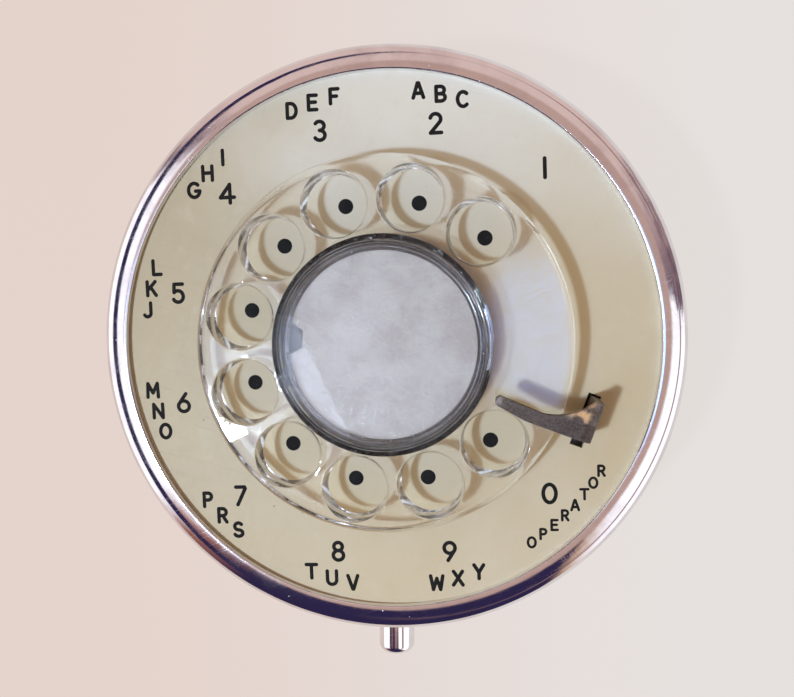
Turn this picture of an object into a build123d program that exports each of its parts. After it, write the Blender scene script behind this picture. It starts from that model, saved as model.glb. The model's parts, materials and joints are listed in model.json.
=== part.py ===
"""Dial instrument of a rotary telephone: a chromed round case, a clear ten-hole finger wheel,
and behind it the shaft, gear train, governor, contacts and line-switch plunger.

Frame: +Z leaves the dial face, +Y points to the top of the dial, -Y to the plunger.
The origin is on the dial's axis, in the plane that the rubber foot ring rests on.
"""
from build123d import *
import math
import os

os.makedirs("parts", exist_ok=True)

SEAT = (Align.CENTER, Align.CENTER, Align.MIN)      # grows up from where it is placed
HANG = (Align.CENTER, Align.CENTER, Align.MAX)      # hangs down from where it is placed

# ---------------------------------------------------------------- driving sizes (millimetres)
case_r = 57.0               # outside of the drawn cup
case_wall = 1.2
case_rim_z = 47.0           # top edge of the cup, which carries the number plate
foot_height = 2.5           # rubber foot ring below the back cover
cover_t = 1.5               # back cover sheet
flange_t = 1.2              # flange of the cup that the back cover screws to
flange_width = 6.8
plate_t = 1.5               # number plate
frame_t = 2.0               # frame plate, which carries the mechanism
ring_t = 2.0                # mounting ring welded inside the cup
bead_r = 2.9                # round shoulder of the bezel
crown_r = 12.0              # gentle crown of the bezel, from its lip to the shoulder
crown_end = 78.0            # degrees from outwards at which the crown runs into the shoulder
lip_width = 2.9             # the bezel's inner lip lies this far inside the case's outside
bezel_t = 0.9
skirt_height = 8.7          # bezel skirt below the middle of the bead
wheel_r = 36.9              # finger wheel
wheel_t = 5.0
wheel_lift = 4.0            # finger wheel's underside above the number plate
hole_count = 10             # finger holes
hole_ring_r = 28.7
hole_r = 6.5
hole_taper = 0.45           # a finger hole's mouth is this much larger in radius than its bottom
hole_pitch = 30.0           # degrees
first_hole = 49.0           # degrees from +X to finger hole 1
cap_r = 21.5                # clear centre cap
disc_r = 18.4               # bright disc under the cap
shaft_r = 2.5
gear_module = 0.7
gear_teeth = 72
pinion_teeth = 12
worm_starts = 2
worm_wheel_teeth = 16
worm_r = 3.0                # pitch radius of the worm
worm_axial_pitch = 1.9
plunger_r = 4.0
plunger_z = 30.0
plunger_tip = 71.8          # plunger's outer end, from the dial's axis
cord_r = 3.0                # cord that the grommet takes
cord_z = 14.0
stop_angle = -19.5          # degrees from +X to the finger stop's leg

# ---------------------------------------------------------------- clearances
run_gap = 0.05              # running fit of a shaft in its bearing, radial
seat_gap = 0.02             # located fit of a fastener, spigot or pressed hub
screw_gap = 0.15            # screw in a clearance hole, radial
sheet_gap = 0.1             # sheet metal ring over the cup
near_gap = 0.3              # neighbours that move past each other

# ---------------------------------------------------------------- levels and radii worked out
back_z = foot_height
flange_z = back_z + cover_t
case_in_r = case_r - case_wall
flange_in_r = case_in_r - flange_width
plate_z = case_rim_z
plate_top = plate_z + plate_t
plate_r = case_r - 0.4
wheel_z = plate_top + wheel_lift
wheel_top = wheel_z + wheel_t
frame_top = plate_z - 5.0
frame_z = frame_top - frame_t
ring_z = frame_z - ring_t
ring_in_r = 49.0
ring_screw_r = 51.6
bridge_t = 2.0
bridge_top = 13.5
bridge_z = bridge_top - bridge_t
bridge_r = 36.5
gear_z = frame_z - 6.0
gear_t = 2.0
gear_pitch_r = gear_module * gear_teeth / 2
pinion_pitch_r = gear_module * pinion_teeth / 2
arbor_x = -(gear_pitch_r + pinion_pitch_r)
arbor_r = 1.0
worm_z = 24.0
worm_wheel_r = worm_wheel_teeth * worm_axial_pitch / (2 * math.pi)
governor_x = arbor_x - worm_wheel_r - worm_r
worm_angle = math.degrees(math.atan(worm_starts * worm_axial_pitch / (2 * math.pi * worm_r)))

# screws: (head radius, head height, shank radius, slot width)
M3 = (2.6, 1.6, 1.45, 0.8)
M25 = (2.1, 1.4, 1.2, 0.7)
M2 = (1.8, 1.2, 0.95, 0.6)


def slotted_screw(size, length, countersunk=False):
    """A slotted screw at each current location: under-head face at the origin, head along +Z."""
    head_r, head_h, shank_r, slot_w = size
    if countersunk:
        Cone(shank_r, head_r, head_h, align=SEAT)
    else:
        Cylinder(head_r, head_h, align=SEAT)
    Cylinder(shank_r, length, align=HANG)
    with Locations((0, 0, head_h)):
        Box(2 * head_r, slot_w, head_h, mode=Mode.SUBTRACT)


def drill(radius, depth):
    """A plain hole at each current location, from a little above the plane downwards."""
    with Locations((0, 0, 1.0)):
        Cylinder(radius, depth + 1.0, align=HANG, mode=Mode.SUBTRACT)


def polar(radius, degrees):
    """The point at this radius and angle from +X."""
    return (radius * math.cos(math.radians(degrees)), radius * math.sin(math.radians(degrees)))


# places of the fasteners, each written once and drilled through every piece they join
case_screw_r = (flange_in_r + case_in_r) / 2 - 0.6
case_screws_at = [polar(case_screw_r, a) for a in (90, 210, 330)]
frame_screws_at = [polar(ring_screw_r, a) for a in (30, 150, 270)]
post_r = 2.6
posts_at = [polar(14.0, a) for a in (70, 190, 310)]
pillar_r = 3.0
pillars_at = [polar(33.0, a) for a in (-40, 100, 235)]
stop_cos = math.cos(math.radians(stop_angle))
stop_sin = math.sin(math.radians(stop_angle))
governor_screws_at = [(governor_x, -9.0), (governor_x, 13.0)]
guide_screws_at = [(-3.6, -41.8), (3.6, -41.8)]

# the plunger lies along -Y and the cord leaves along +Y; distances on both are from the dial's axis
plunger_axis = Plane(origin=(0, 0, plunger_z), x_dir=(1, 0, 0), z_dir=(0, -1, 0))
cord_axis = Plane(origin=(0, 0, cord_z), x_dir=(-1, 0, 0), z_dir=(0, 1, 0))
bushing_barrel_r = plunger_r + 1.0
grommet_neck_r = cord_r + 2.5


# the bezel is held by grub screws that thread through its skirt and the cup's wall
grub_z = frame_top + 1.2
grub_length = 2.6
grub_r = 1.2
grub_planes = [
    Plane(origin=(0, 0, grub_z), x_dir=(0, 0, 1), z_dir=(*polar(1, angle), 0)) for angle in (0, 120, 240)
]

# ================================================================ case
with BuildPart() as case_cup:
    with BuildSketch(Plane.XZ):
        with BuildLine():
            Polyline(
                (case_in_r, back_z),
                (case_r, back_z),
                (case_r, case_rim_z),
                (case_in_r, case_rim_z),
                (case_in_r, flange_z + flange_t),
                (flange_in_r, flange_z + flange_t),
                (flange_in_r, flange_z),
                (case_in_r, flange_z),
                close=True,
            )
        make_face()
    revolve(axis=Axis.Z)
    back_rim = case_cup.edges().filter_by(GeomType.CIRCLE).group_by(Axis.Z)[0]
    fillet(back_rim.sort_by(SortBy.RADIUS)[-1], case_wall / 2)
    with BuildSketch(Plane.XY.offset(flange_z)):
        with Locations(*case_screws_at):
            Circle(M3[2] + seat_gap)
    extrude(amount=flange_t, mode=Mode.SUBTRACT)
    with BuildSketch(plunger_axis.offset(case_in_r - 2)):
        Circle(bushing_barrel_r + seat_gap)
    extrude(amount=case_wall + 4, mode=Mode.SUBTRACT)
    with BuildSketch(cord_axis.offset(case_in_r - 2)):
        Circle(grommet_neck_r + sheet_gap)
    extrude(amount=case_wall + 4, mode=Mode.SUBTRACT)
    for outwards in grub_planes:
        with BuildSketch(outwards.offset(case_in_r - 1)):
            Circle(grub_r + seat_gap)
        extrude(amount=case_wall + 2, mode=Mode.SUBTRACT)
case_cup.part.label = "case_cup"
export_step(case_cup.part, "parts/case_cup.step")

bead_x = case_r - near_gap          # middle of the bezel's shoulder
bead_z = plate_top - 1.3
bead_in_r = bead_r - bezel_t
skirt_in_r = case_r + sheet_gap
skirt_out_r = skirt_in_r + bezel_t
lip_r = case_r - lip_width
lip_round = 0.4


def on_bead(radius, degrees):
    """A point of the shoulder's section, at this angle from straight outwards."""
    x, z = polar(radius, degrees)
    return (bead_x + x, bead_z + z)


# the crown's arc is tangent to the shoulder's where they meet
crown_centre = on_bead(bead_r - crown_r, crown_end)


def on_crown(radius, x):
    """The point of a crown arc at this distance from the dial's axis."""
    across = x - crown_centre[0]
    return (x, crown_centre[1] + math.sqrt(radius**2 - across**2))


def skirt_angle(radius, skirt_r):
    """The angle at which a shoulder arc runs into the skirt."""
    return -math.degrees(math.acos((skirt_r - bead_x) / radius))


with BuildPart() as bezel_ring:
    with BuildSketch(Plane.XZ) as bezel_section:
        with BuildLine():
            crown_in_r = crown_r - bezel_t
            skirt_out = on_bead(bead_r, skirt_angle(bead_r, skirt_out_r))
            skirt_in = on_bead(bead_in_r, skirt_angle(bead_in_r, skirt_in_r))
            lip_top = on_crown(crown_r, lip_r)
            lip_under = on_crown(crown_in_r, lip_r + bezel_t)
            Line((skirt_in_r, bead_z - skirt_height), (skirt_out_r, bead_z - skirt_height))
            Line((skirt_out_r, bead_z - skirt_height), skirt_out)
            ThreePointArc(skirt_out, on_bead(bead_r, 20), on_bead(bead_r, crown_end))
            ThreePointArc(on_bead(bead_r, crown_end), on_crown(crown_r, bead_x - 1), lip_top)
            Line(lip_top, (lip_r, plate_top))
            Line((lip_r, plate_top), (lip_r + bezel_t, plate_top))
            Line((lip_r + bezel_t, plate_top), lip_under)
            ThreePointArc(lip_under, on_crown(crown_in_r, bead_x - 1), on_bead(bead_in_r, crown_end))
            ThreePointArc(on_bead(bead_in_r, crown_end), on_bead(bead_in_r, 20), skirt_in)
            Line(skirt_in, (skirt_in_r, bead_z - skirt_height))
        make_face()
        lip_corner = bezel_section.vertices().sort_by(Axis.X)[:2].sort_by(Axis.Y)[-1]
        fillet(lip_corner, lip_round)
    revolve(axis=Axis.Z)
    for outwards in grub_planes:
        with BuildSketch(outwards.offset(case_r)):
            Circle(grub_r + seat_gap)
        extrude(amount=4, mode=Mode.SUBTRACT)
bezel_ring.part.label = "bezel_ring"
export_step(bezel_ring.part, "parts/bezel_ring.step")

with BuildPart() as bezel_screws:
    for outwards in grub_planes:
        with BuildSketch(outwards.offset(skirt_out_r - grub_length)):
            Circle(grub_r)
        extrude(amount=grub_length)
        with BuildSketch(outwards.offset(skirt_out_r)):
            Rectangle(2.2 * grub_r, 0.5)
        extrude(amount=-0.8, mode=Mode.SUBTRACT)
bezel_screws.part.label = "bezel_screws"
export_step(bezel_screws.part, "parts/bezel_screws.step")

back_cover_r = case_in_r - near_gap
mount_pcd = 56.0
mount_hole_r = 2.1
mount_holes = 4

with BuildPart() as back_cover:
    with BuildSketch(Plane.XY.offset(back_z)):
        Circle(back_cover_r)
        with Locations(*case_screws_at):
            Circle(M3[2] + screw_gap, mode=Mode.SUBTRACT)
        with PolarLocations(mount_pcd / 2, mount_holes, start_angle=45):
            Circle(mount_hole_r, mode=Mode.SUBTRACT)
    extrude(amount=cover_t)
back_cover.part.label = "back_cover"
export_step(back_cover.part, "parts/back_cover.step")

with BuildPart(Plane(origin=(0, 0, back_z), x_dir=(1, 0, 0), z_dir=(0, 0, -1))) as back_cover_screws:
    with Locations(*[(x, -y) for x, y in case_screws_at]):
        slotted_screw(M3, cover_t + flange_t + 1.6)
back_cover_screws.part.label = "back_cover_screws"
export_step(back_cover_screws.part, "parts/back_cover_screws.step")

foot_r = 42.0
foot_width = 8.0

with BuildPart() as foot_ring:
    with BuildSketch(Plane.XZ) as foot_section:
        with Locations((foot_r, foot_height / 2)):
            Rectangle(foot_width, foot_height)
        fillet(foot_section.vertices().group_by(Axis.Y)[0], 0.6)
    revolve(axis=Axis.Z)
foot_ring.part.label = "foot_ring"
export_step(foot_ring.part, "parts/foot_ring.step")

grommet_lip = 2.0
grommet_out = case_r + run_gap                              # outer flange, just off the cup
grommet_in = math.sqrt(case_in_r**2 - (grommet_neck_r + grommet_lip) ** 2) - run_gap

with BuildPart() as cord_grommet:
    with BuildSketch(cord_axis.offset(grommet_in - grommet_lip)):
        Circle(grommet_neck_r + grommet_lip)
    extrude(amount=grommet_lip)
    with BuildSketch(cord_axis.offset(grommet_in)):
        Circle(grommet_neck_r)
    extrude(amount=grommet_out - grommet_in)
    with BuildSketch(cord_axis.offset(grommet_out)):
        Circle(grommet_neck_r + grommet_lip)
    extrude(amount=grommet_lip)
    outer_edge = cord_grommet.edges().filter_by(GeomType.CIRCLE).group_by(Axis.Y)[-1]
    fillet(outer_edge.sort_by(SortBy.RADIUS)[-1], grommet_lip / 2)
    with BuildSketch(cord_axis.offset(grommet_in - grommet_lip)):
        Circle(cord_r)
    extrude(amount=grommet_out - grommet_in + 2 * grommet_lip, mode=Mode.SUBTRACT)
cord_grommet.part.label = "cord_grommet"
export_step(cord_grommet.part, "parts/cord_grommet.step")

# ================================================================ frame of the mechanism
with BuildPart() as mounting_ring:
    with BuildSketch(Plane.XY.offset(ring_z)):
        Circle(case_in_r - run_gap)
        Circle(ring_in_r, mode=Mode.SUBTRACT)
        with Locations(*frame_screws_at):
            Circle(M25[2] + seat_gap, mode=Mode.SUBTRACT)
    extrude(amount=ring_t)
mounting_ring.part.label = "mounting_ring"
export_step(mounting_ring.part, "parts/mounting_ring.step")

bush_r = shaft_r + 1.6
bush_flange_t = 1.4
stop_t = 1.6
stop_foot_screws = (34.2, 39.0)      # distances from the dial's axis
stop_screws_at = [(u * stop_cos, u * stop_sin) for u in stop_foot_screws]

# the three contact piles: where each moving blade leaves its block, which way it runs, and the
# way from the moving blade to the fixed one; the block stands below the frame plate
blade_t = 0.4
pulse_pile = Plane(origin=(arbor_x + 5.5, 20.0, 29.0), x_dir=(0, -1, 0), z_dir=(-1, 0, 0))
off_normal_pile = Plane(origin=(28.0, 8.5, 28.0), x_dir=(-1, 0, 0), z_dir=(0, 1, 0))
line_pile = Plane(origin=(24.0, -32.4, plunger_z), x_dir=(-1, 0, 0), z_dir=(0, 1, 0))
pile_length = 10.0
pile_screw_inset = 2.6


def pile_screws_at(pile):
    """The two screws that hold a contact block up against the frame plate."""
    ends = (-pile_screw_inset, -pile_length + pile_screw_inset)
    points = [pile.from_local_coords((x, 0, 0)) for x in ends]
    return [(point.X, point.Y) for point in points]


pile_screws = [at for pile in (pulse_pile, off_normal_pile, line_pile) for at in pile_screws_at(pile)]
frame_r = ring_in_r + 5.0

with BuildPart() as frame_plate:
    with BuildSketch(Plane.XY.offset(frame_z)):
        Circle(frame_r)
        Circle(bush_r + seat_gap, mode=Mode.SUBTRACT)
        with Locations((arbor_x, 0)):
            Circle(arbor_r + run_gap, mode=Mode.SUBTRACT)
        with Locations(*frame_screws_at):
            Circle(M25[2] + screw_gap, mode=Mode.SUBTRACT)
        with Locations(*posts_at, *stop_screws_at, *pillars_at):
            Circle(M25[2] + seat_gap, mode=Mode.SUBTRACT)
        with Locations(*governor_screws_at, *guide_screws_at, *pile_screws):
            Circle(M2[2] + screw_gap, mode=Mode.SUBTRACT)
    extrude(amount=frame_t)
frame_plate.part.label = "frame_plate"
export_step(frame_plate.part, "parts/frame_plate.step")

# the frame's own screws, and the two that hold the finger stop's foot down on it
with BuildPart(Plane.XY.offset(frame_top)) as frame_screws:
    with Locations(*frame_screws_at):
        slotted_screw(M25, frame_t + ring_t)
    with Locations(*[(x, y, stop_t) for x, y in stop_screws_at]):
        slotted_screw(M25, frame_t + ring_t)
frame_screws.part.label = "frame_screws"
export_step(frame_screws.part, "parts/frame_screws.step")

with BuildPart(Plane.XY.offset(frame_top)) as shaft_bush:
    Cylinder(bush_r, frame_t + 1.0, align=HANG)
    Cylinder(bush_r + 2.0, bush_flange_t, align=SEAT)
    with Locations((0, 0, bush_flange_t)):
        drill(shaft_r + run_gap, frame_t + bush_flange_t + 1.0)
shaft_bush.part.label = "shaft_bush"
export_step(shaft_bush.part, "parts/shaft_bush.step")

with BuildPart() as pillars:
    with BuildSketch(Plane.XY.offset(bridge_top)):
        with Locations(*pillars_at):
            Circle(pillar_r)
    extrude(amount=frame_z - bridge_top)
    screw_depth = 5.0
    for level, way in ((bridge_top, 1), (frame_z, -1)):
        with BuildSketch(Plane.XY.offset(level)):
            with Locations(*pillars_at):
                Circle(M25[2] + seat_gap)
        extrude(amount=way * screw_depth, mode=Mode.SUBTRACT)
pillars.part.label = "pillars"
export_step(pillars.part, "parts/pillars.step")

with BuildPart(Plane.XY.offset(frame_top)) as pillar_screws:
    with Locations(*pillars_at):
        slotted_screw(M25, frame_t + screw_depth - 0.5)
    with Locations(*[(x, y, bridge_z - frame_top) for x, y in pillars_at]):
        with Locations(Rotation(180, 0, 0)):
            slotted_screw(M25, bridge_t + screw_depth - 0.5)
pillar_screws.part.label = "pillar_screws"
export_step(pillar_screws.part, "parts/pillar_screws.step")

board_y = 24.5
board_length = 30.0
board_width = 11.0
board_t = 2.0
board_screws_at = [(x, board_y) for x in (-11.4, -3.8, 3.8, 11.4)]

with BuildPart() as bridge_plate:
    with BuildSketch(Plane.XY.offset(bridge_z)):
        Circle(bridge_r)
        Circle(shaft_r + run_gap, mode=Mode.SUBTRACT)
        with Locations((arbor_x, 0)):
            Circle(arbor_r + run_gap, mode=Mode.SUBTRACT)
        with Locations(*pillars_at):
            Circle(M25[2] + screw_gap, mode=Mode.SUBTRACT)
        with Locations(*board_screws_at):
            Circle(M2[2] + seat_gap, mode=Mode.SUBTRACT)
        for window in (0, 225, 300):
            with Locations(Pos(*polar(18.5, window)) * Rotation(0, 0, window)):
                SlotOverall(20, 9, rotation=90, mode=Mode.SUBTRACT)
    extrude(amount=bridge_t)
bridge_plate.part.label = "bridge_plate"
export_step(bridge_plate.part, "parts/bridge_plate.step")

with BuildPart() as terminal_board:
    with BuildSketch(Plane.XY.offset(bridge_z - board_t)):
        with Locations((0, board_y)):
            RectangleRounded(board_length, board_width, 1.2)
        with Locations(*board_screws_at):
            Circle(M2[2] + screw_gap, mode=Mode.SUBTRACT)
    extrude(amount=board_t)
terminal_board.part.label = "terminal_board"
export_step(terminal_board.part, "parts/terminal_board.step")

board_under = Plane(origin=(0, 0, bridge_z - board_t), x_dir=(1, 0, 0), z_dir=(0, 0, -1))
with BuildPart(board_under) as terminal_screws:
    with Locations(*[(x, -y) for x, y in board_screws_at]):
        slotted_screw(M2, board_t + bridge_t)
terminal_screws.part.label = "terminal_screws"
export_step(terminal_screws.part, "parts/terminal_screws.step")

# ================================================================ number plate and finger stop
stop_width = 7.8
stop_leg_u = 42.6            # middle of the upright leg, from the dial's axis
stop_arm_z = wheel_top + 2.4  # middle of the arm above the wheel
stop_tip_u = 23.8
slot_width = stop_t + 1.0
slot_length = 11.0
slot_offset = -1.2

with BuildPart() as number_plate:
    with BuildSketch(Plane.XY.offset(plate_z)):
        Circle(plate_r)
        Circle(bush_r + 4.0, mode=Mode.SUBTRACT)
        with Locations(*posts_at):
            Circle(M25[2] + screw_gap, mode=Mode.SUBTRACT)
        with Locations(Rotation(0, 0, stop_angle)):
            with Locations((stop_leg_u, slot_offset)):
                Rectangle(slot_width, slot_length, mode=Mode.SUBTRACT)
    extrude(amount=plate_t)
number_plate.part.label = "number_plate"
export_step(number_plate.part, "parts/number_plate.step")

with BuildPart() as plate_posts:
    with BuildSketch(Plane.XY.offset(frame_top)):
        with Locations(*posts_at):
            Circle(post_r)
            Circle(M25[2] + seat_gap, mode=Mode.SUBTRACT)
    extrude(amount=plate_z - frame_top)
plate_posts.part.label = "plate_posts"
export_step(plate_posts.part, "parts/plate_posts.step")

with BuildPart(Plane.XY.offset(plate_top)) as plate_screws:
    with Locations(*posts_at):
        slotted_screw(M25, plate_top - frame_z)
plate_screws.part.label = "plate_screws"
export_step(plate_screws.part, "parts/plate_screws.step")

# the stop in its own plan: u runs outwards from the dial's axis, v across, to the holes it stops
stop_side = Plane(origin=(0, 0, 0), x_dir=(stop_cos, stop_sin, 0), z_dir=(stop_sin, -stop_cos, 0))
stop_plan = Plane(origin=(0, 0, 0), x_dir=(stop_cos, stop_sin, 0), z_dir=(0, 0, 1))
stop_foot_u = 31.5
stop_foot_z = frame_top + stop_t / 2
bend_r = stop_t
half_width = stop_width / 2

neck_u = stop_leg_u - 1.2     # the hook's outline starts here, at the strip's full width

with BuildPart() as finger_stop:
    with BuildLine(stop_side) as stop_line:
        FilletPolyline(
            (stop_tip_u, stop_arm_z),
            (stop_leg_u, stop_arm_z),
            (stop_leg_u, stop_foot_z),
            (stop_foot_u, stop_foot_z),
            radius=bend_r,
        )
    with BuildSketch(Plane(origin=stop_line.line @ 0, z_dir=stop_line.line % 0, x_dir=stop_side.z_dir)):
        Rectangle(stop_width, stop_t)
    sweep()
    # the arm is cut to its hook; the leg and the foot keep the full width of the strip
    with BuildSketch(stop_plan.offset(wheel_top)):
        with Locations((neck_u, 0)):
            Rectangle(2 * (neck_u - stop_tip_u + 1), stop_width + 2, align=(Align.CENTER, Align.CENTER))
        with Locations((neck_u, 0)):
            Rectangle(60, stop_width + 4, align=(Align.MIN, Align.CENTER), mode=Mode.SUBTRACT)
        with BuildLine():
            waist = (neck_u - 8.4, -1.45)
            tip_top = (stop_tip_u + 0.6, -1.0)
            tip_low = (stop_tip_u + 0.9, -3.0)
            belly = (neck_u - 7.2, -0.58 * stop_width)
            heel = (neck_u, -half_width)
            ThreePointArc((neck_u, half_width), (neck_u - 3.2, 0.55), waist)
            Line(waist, tip_top)
            ThreePointArc(tip_top, (stop_tip_u, -2.1), tip_low)
            Line(tip_low, belly)
            ThreePointArc(belly, (neck_u - 3.6, -0.53 * stop_width), heel)
            Line(heel, (neck_u, half_width))
        make_face(mode=Mode.SUBTRACT)
    extrude(amount=stop_arm_z - wheel_top + stop_t, mode=Mode.SUBTRACT)
    with BuildSketch(Plane.XY.offset(frame_top)):
        with Locations(*stop_screws_at):
            Circle(M25[2] + screw_gap)
    extrude(amount=stop_t, mode=Mode.SUBTRACT)
finger_stop.part.label = "finger_stop"
export_step(finger_stop.part, "parts/finger_stop.step")

# ================================================================ what turns with the finger wheel
web_t = 1.5                  # thin middle of the wheel, clamped on the carrier
well_r = cap_r - 1.5         # well in the top of the wheel that the clamp plate and the cap sit in
web_in_r = 11.0
clamp_t = 1.5
disc_t = 0.8
cap_wall = 1.0
cap_rings = 5
cap_ring_w = 0.52
cap_ring_h = 0.3
carrier_t = 2.0
hub_screws_at = [polar(14.5, a) for a in (30, 150, 270)]
well_z = wheel_z + web_t
disc_z = well_z + clamp_t
cap_inner_z = disc_z + disc_t + 1.2

with BuildPart() as finger_wheel:
    with BuildSketch(Plane.XY.offset(wheel_z)):
        Circle(wheel_r)
        Circle(web_in_r, mode=Mode.SUBTRACT)
    extrude(amount=wheel_t)
    rim = finger_wheel.faces().filter_by(GeomType.CYLINDER).sort_by(SortBy.AREA)[-1]
    fillet(rim.edges().filter_by(GeomType.CIRCLE), 1.0)
    with BuildSketch(Plane.XY.offset(wheel_top)):
        Circle(well_r)
    extrude(amount=-(wheel_t - web_t), mode=Mode.SUBTRACT)
    with Locations((0, 0, wheel_z)):
        with PolarLocations(hole_ring_r, hole_count, first_hole, hole_pitch * hole_count):
            Cone(hole_r - hole_taper, hole_r, wheel_t, align=SEAT, mode=Mode.SUBTRACT)
    with BuildSketch(Plane.XY.offset(wheel_z)):
        with Locations(*hub_screws_at):
            Circle(M25[2] + screw_gap)
    extrude(amount=web_t, mode=Mode.SUBTRACT)
finger_wheel.part.label = "finger_wheel"
export_step(finger_wheel.part, "parts/finger_wheel.step")

shaft_foot_z = bridge_z - 2.2
shaft_top_z = wheel_z + web_t

with BuildPart() as main_shaft:
    with BuildSketch(Plane.XY.offset(shaft_foot_z)):
        Circle(shaft_r)
    extrude(amount=shaft_top_z - shaft_foot_z)
    chamfer(main_shaft.edges().filter_by(GeomType.CIRCLE), 0.3)
    clip_z = bridge_z - 1.0
    clip_t = 0.7
    groove = 0.5
    with BuildSketch(Plane.XY.offset(clip_z - seat_gap)):
        Circle(shaft_r)
        Circle(shaft_r - groove, mode=Mode.SUBTRACT)
    extrude(amount=clip_t + 2 * seat_gap, mode=Mode.SUBTRACT)
main_shaft.part.label = "main_shaft"
export_step(main_shaft.part, "parts/main_shaft.step")

with BuildPart() as shaft_clip:
    with BuildSketch(Plane.XY.offset(clip_z)):
        Circle(shaft_r + 2.0)
        Circle(shaft_r - groove + seat_gap, mode=Mode.SUBTRACT)
        with Locations((shaft_r + 1.0, 0)):
            Rectangle(2 * shaft_r, 1.4 * shaft_r, mode=Mode.SUBTRACT)
    extrude(amount=clip_t)
shaft_clip.part.label = "shaft_clip"
export_step(shaft_clip.part, "parts/shaft_clip.step")

hub_boss_r = 6.5
hub_boss_z = frame_top + bush_flange_t + near_gap

with BuildPart() as hub_carrier:
    with BuildSketch(Plane.XY.offset(wheel_z - carrier_t)):
        Circle(cap_r - 0.5)
    extrude(amount=carrier_t)
    with BuildSketch(Plane.XY.offset(wheel_z)):
        Circle(web_in_r - seat_gap)
    extrude(amount=web_t)
    with BuildSketch(Plane.XY.offset(hub_boss_z)):
        Circle(hub_boss_r)
    extrude(amount=wheel_z - hub_boss_z)
    with BuildSketch(Plane.XY.offset(hub_boss_z)):
        Circle(shaft_r + seat_gap)
        with Locations(*hub_screws_at):
            Circle(M25[2] + seat_gap)
    extrude(amount=shaft_top_z - hub_boss_z, mode=Mode.SUBTRACT)
hub_carrier.part.label = "hub_carrier"
export_step(hub_carrier.part, "parts/hub_carrier.step")

with BuildPart() as clamp_plate:
    with BuildSketch(Plane.XY.offset(well_z)):
        Circle(disc_r + 0.3)
        with Locations(*hub_screws_at):
            Circle(M25[2] + screw_gap, mode=Mode.SUBTRACT)
    extrude(amount=clamp_t)
    with Locations((0, 0, disc_z - M25[1])):
        with Locations(*hub_screws_at):
            Cone(M25[2] + screw_gap, M25[0] + screw_gap, M25[1], align=SEAT, mode=Mode.SUBTRACT)
clamp_plate.part.label = "clamp_plate"
export_step(clamp_plate.part, "parts/clamp_plate.step")

with BuildPart(Plane.XY.offset(disc_z - M25[1])) as hub_screws:
    with Locations(*hub_screws_at):
        slotted_screw(M25, web_t + carrier_t, countersunk=True)
hub_screws.part.label = "hub_screws"
export_step(hub_screws.part, "parts/hub_screws.step")

notch_angle = 176.0
notch_depth = 2.6

with BuildPart() as hub_disc:
    with BuildSketch(Plane.XY.offset(disc_z)):
        Circle(disc_r)
    extrude(amount=disc_t)
    with BuildSketch(Plane(origin=(0, 0, disc_z), x_dir=(*polar(1, notch_angle), 0), z_dir=(0, 0, 1))):
        with BuildLine():
            Polyline(
                (disc_r + 1, 4.0),
                (disc_r - notch_depth, 1.7),
                (disc_r - notch_depth, -1.7),
                (disc_r + 1, -4.0),
                close=True,
            )
        make_face()
    extrude(amount=disc_t, mode=Mode.SUBTRACT)
hub_disc.part.label = "hub_disc"
export_step(hub_disc.part, "parts/hub_disc.step")

cap_rim_h = 0.6
cap_top = wheel_top + cap_rim_h + cap_rings * cap_ring_h
spigot_out = well_r - screw_gap
spigot_in = disc_r + 0.4

with BuildPart() as centre_cap:
    with BuildSketch(Plane.XZ):
        with BuildLine():
            Polyline(
                (0, cap_top),
                (0, cap_top - cap_wall),
                (spigot_in, cap_top - cap_wall),
                (spigot_in, well_z + seat_gap),
                (spigot_out, well_z + seat_gap),
                (spigot_out, wheel_top),
                (cap_r, wheel_top),
                (cap_r, wheel_top + cap_rim_h),
            )
            for ring in range(cap_rings):
                low = (cap_r - ring * cap_ring_w, wheel_top + cap_rim_h + ring * cap_ring_h)
                high = (low[0] - cap_ring_w, low[1] + cap_ring_h)
                crown = (low[0] - 0.4 * cap_ring_w, low[1] + 0.85 * cap_ring_h)
                ThreePointArc(low, crown, high)
            Line(high, (0, cap_top))
        make_face()
    revolve(axis=Axis.Z)
centre_cap.part.label = "centre_cap"
export_step(centre_cap.part, "parts/centre_cap.step")

cam_z = off_normal_pile.origin.Z - 1.0
cam_t = 2.0
cam_lobe_r = off_normal_pile.origin.Y - blade_t / 2 - near_gap

with BuildPart() as off_normal_cam:
    with BuildSketch(Plane.XY.offset(cam_z)):
        Circle(shaft_r + 2.5)
        with Locations((0, cam_lobe_r - 2.0)):
            Circle(2.0)
        make_hull()
        Circle(shaft_r + seat_gap, mode=Mode.SUBTRACT)
    extrude(amount=cam_t)
off_normal_cam.part.label = "off_normal_cam"
export_step(off_normal_cam.part, "parts/off_normal_cam.step")

ratchet_teeth = 12
ratchet_r = 9.0
ratchet_root_r = 7.6
ratchet_t = 1.6
ratchet_z = gear_z - 1.0 - ratchet_t

with BuildPart() as ratchet_wheel:
    with BuildSketch(Plane.XY.offset(ratchet_z)):
        with BuildLine():
            corners = []
            for tooth in range(ratchet_teeth):
                face_angle = tooth * 360 / ratchet_teeth
                corners += [polar(ratchet_root_r, face_angle), polar(ratchet_r, face_angle)]
            Polyline(*corners, close=True)
        make_face()
        Circle(shaft_r + seat_gap, mode=Mode.SUBTRACT)
    extrude(amount=ratchet_t)
ratchet_wheel.part.label = "ratchet_wheel"
export_step(ratchet_wheel.part, "parts/ratchet_wheel.step")

# ================================================================ gear train
addendum = 0.8 * gear_module
dedendum = 1.05 * gear_module
backlash = 0.10              # thinning of each tooth at the pitch circle
pressure_angle = math.radians(20)


def involute(angle):
    """The involute function, in degrees."""
    return math.degrees(math.tan(angle) - angle)


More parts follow.
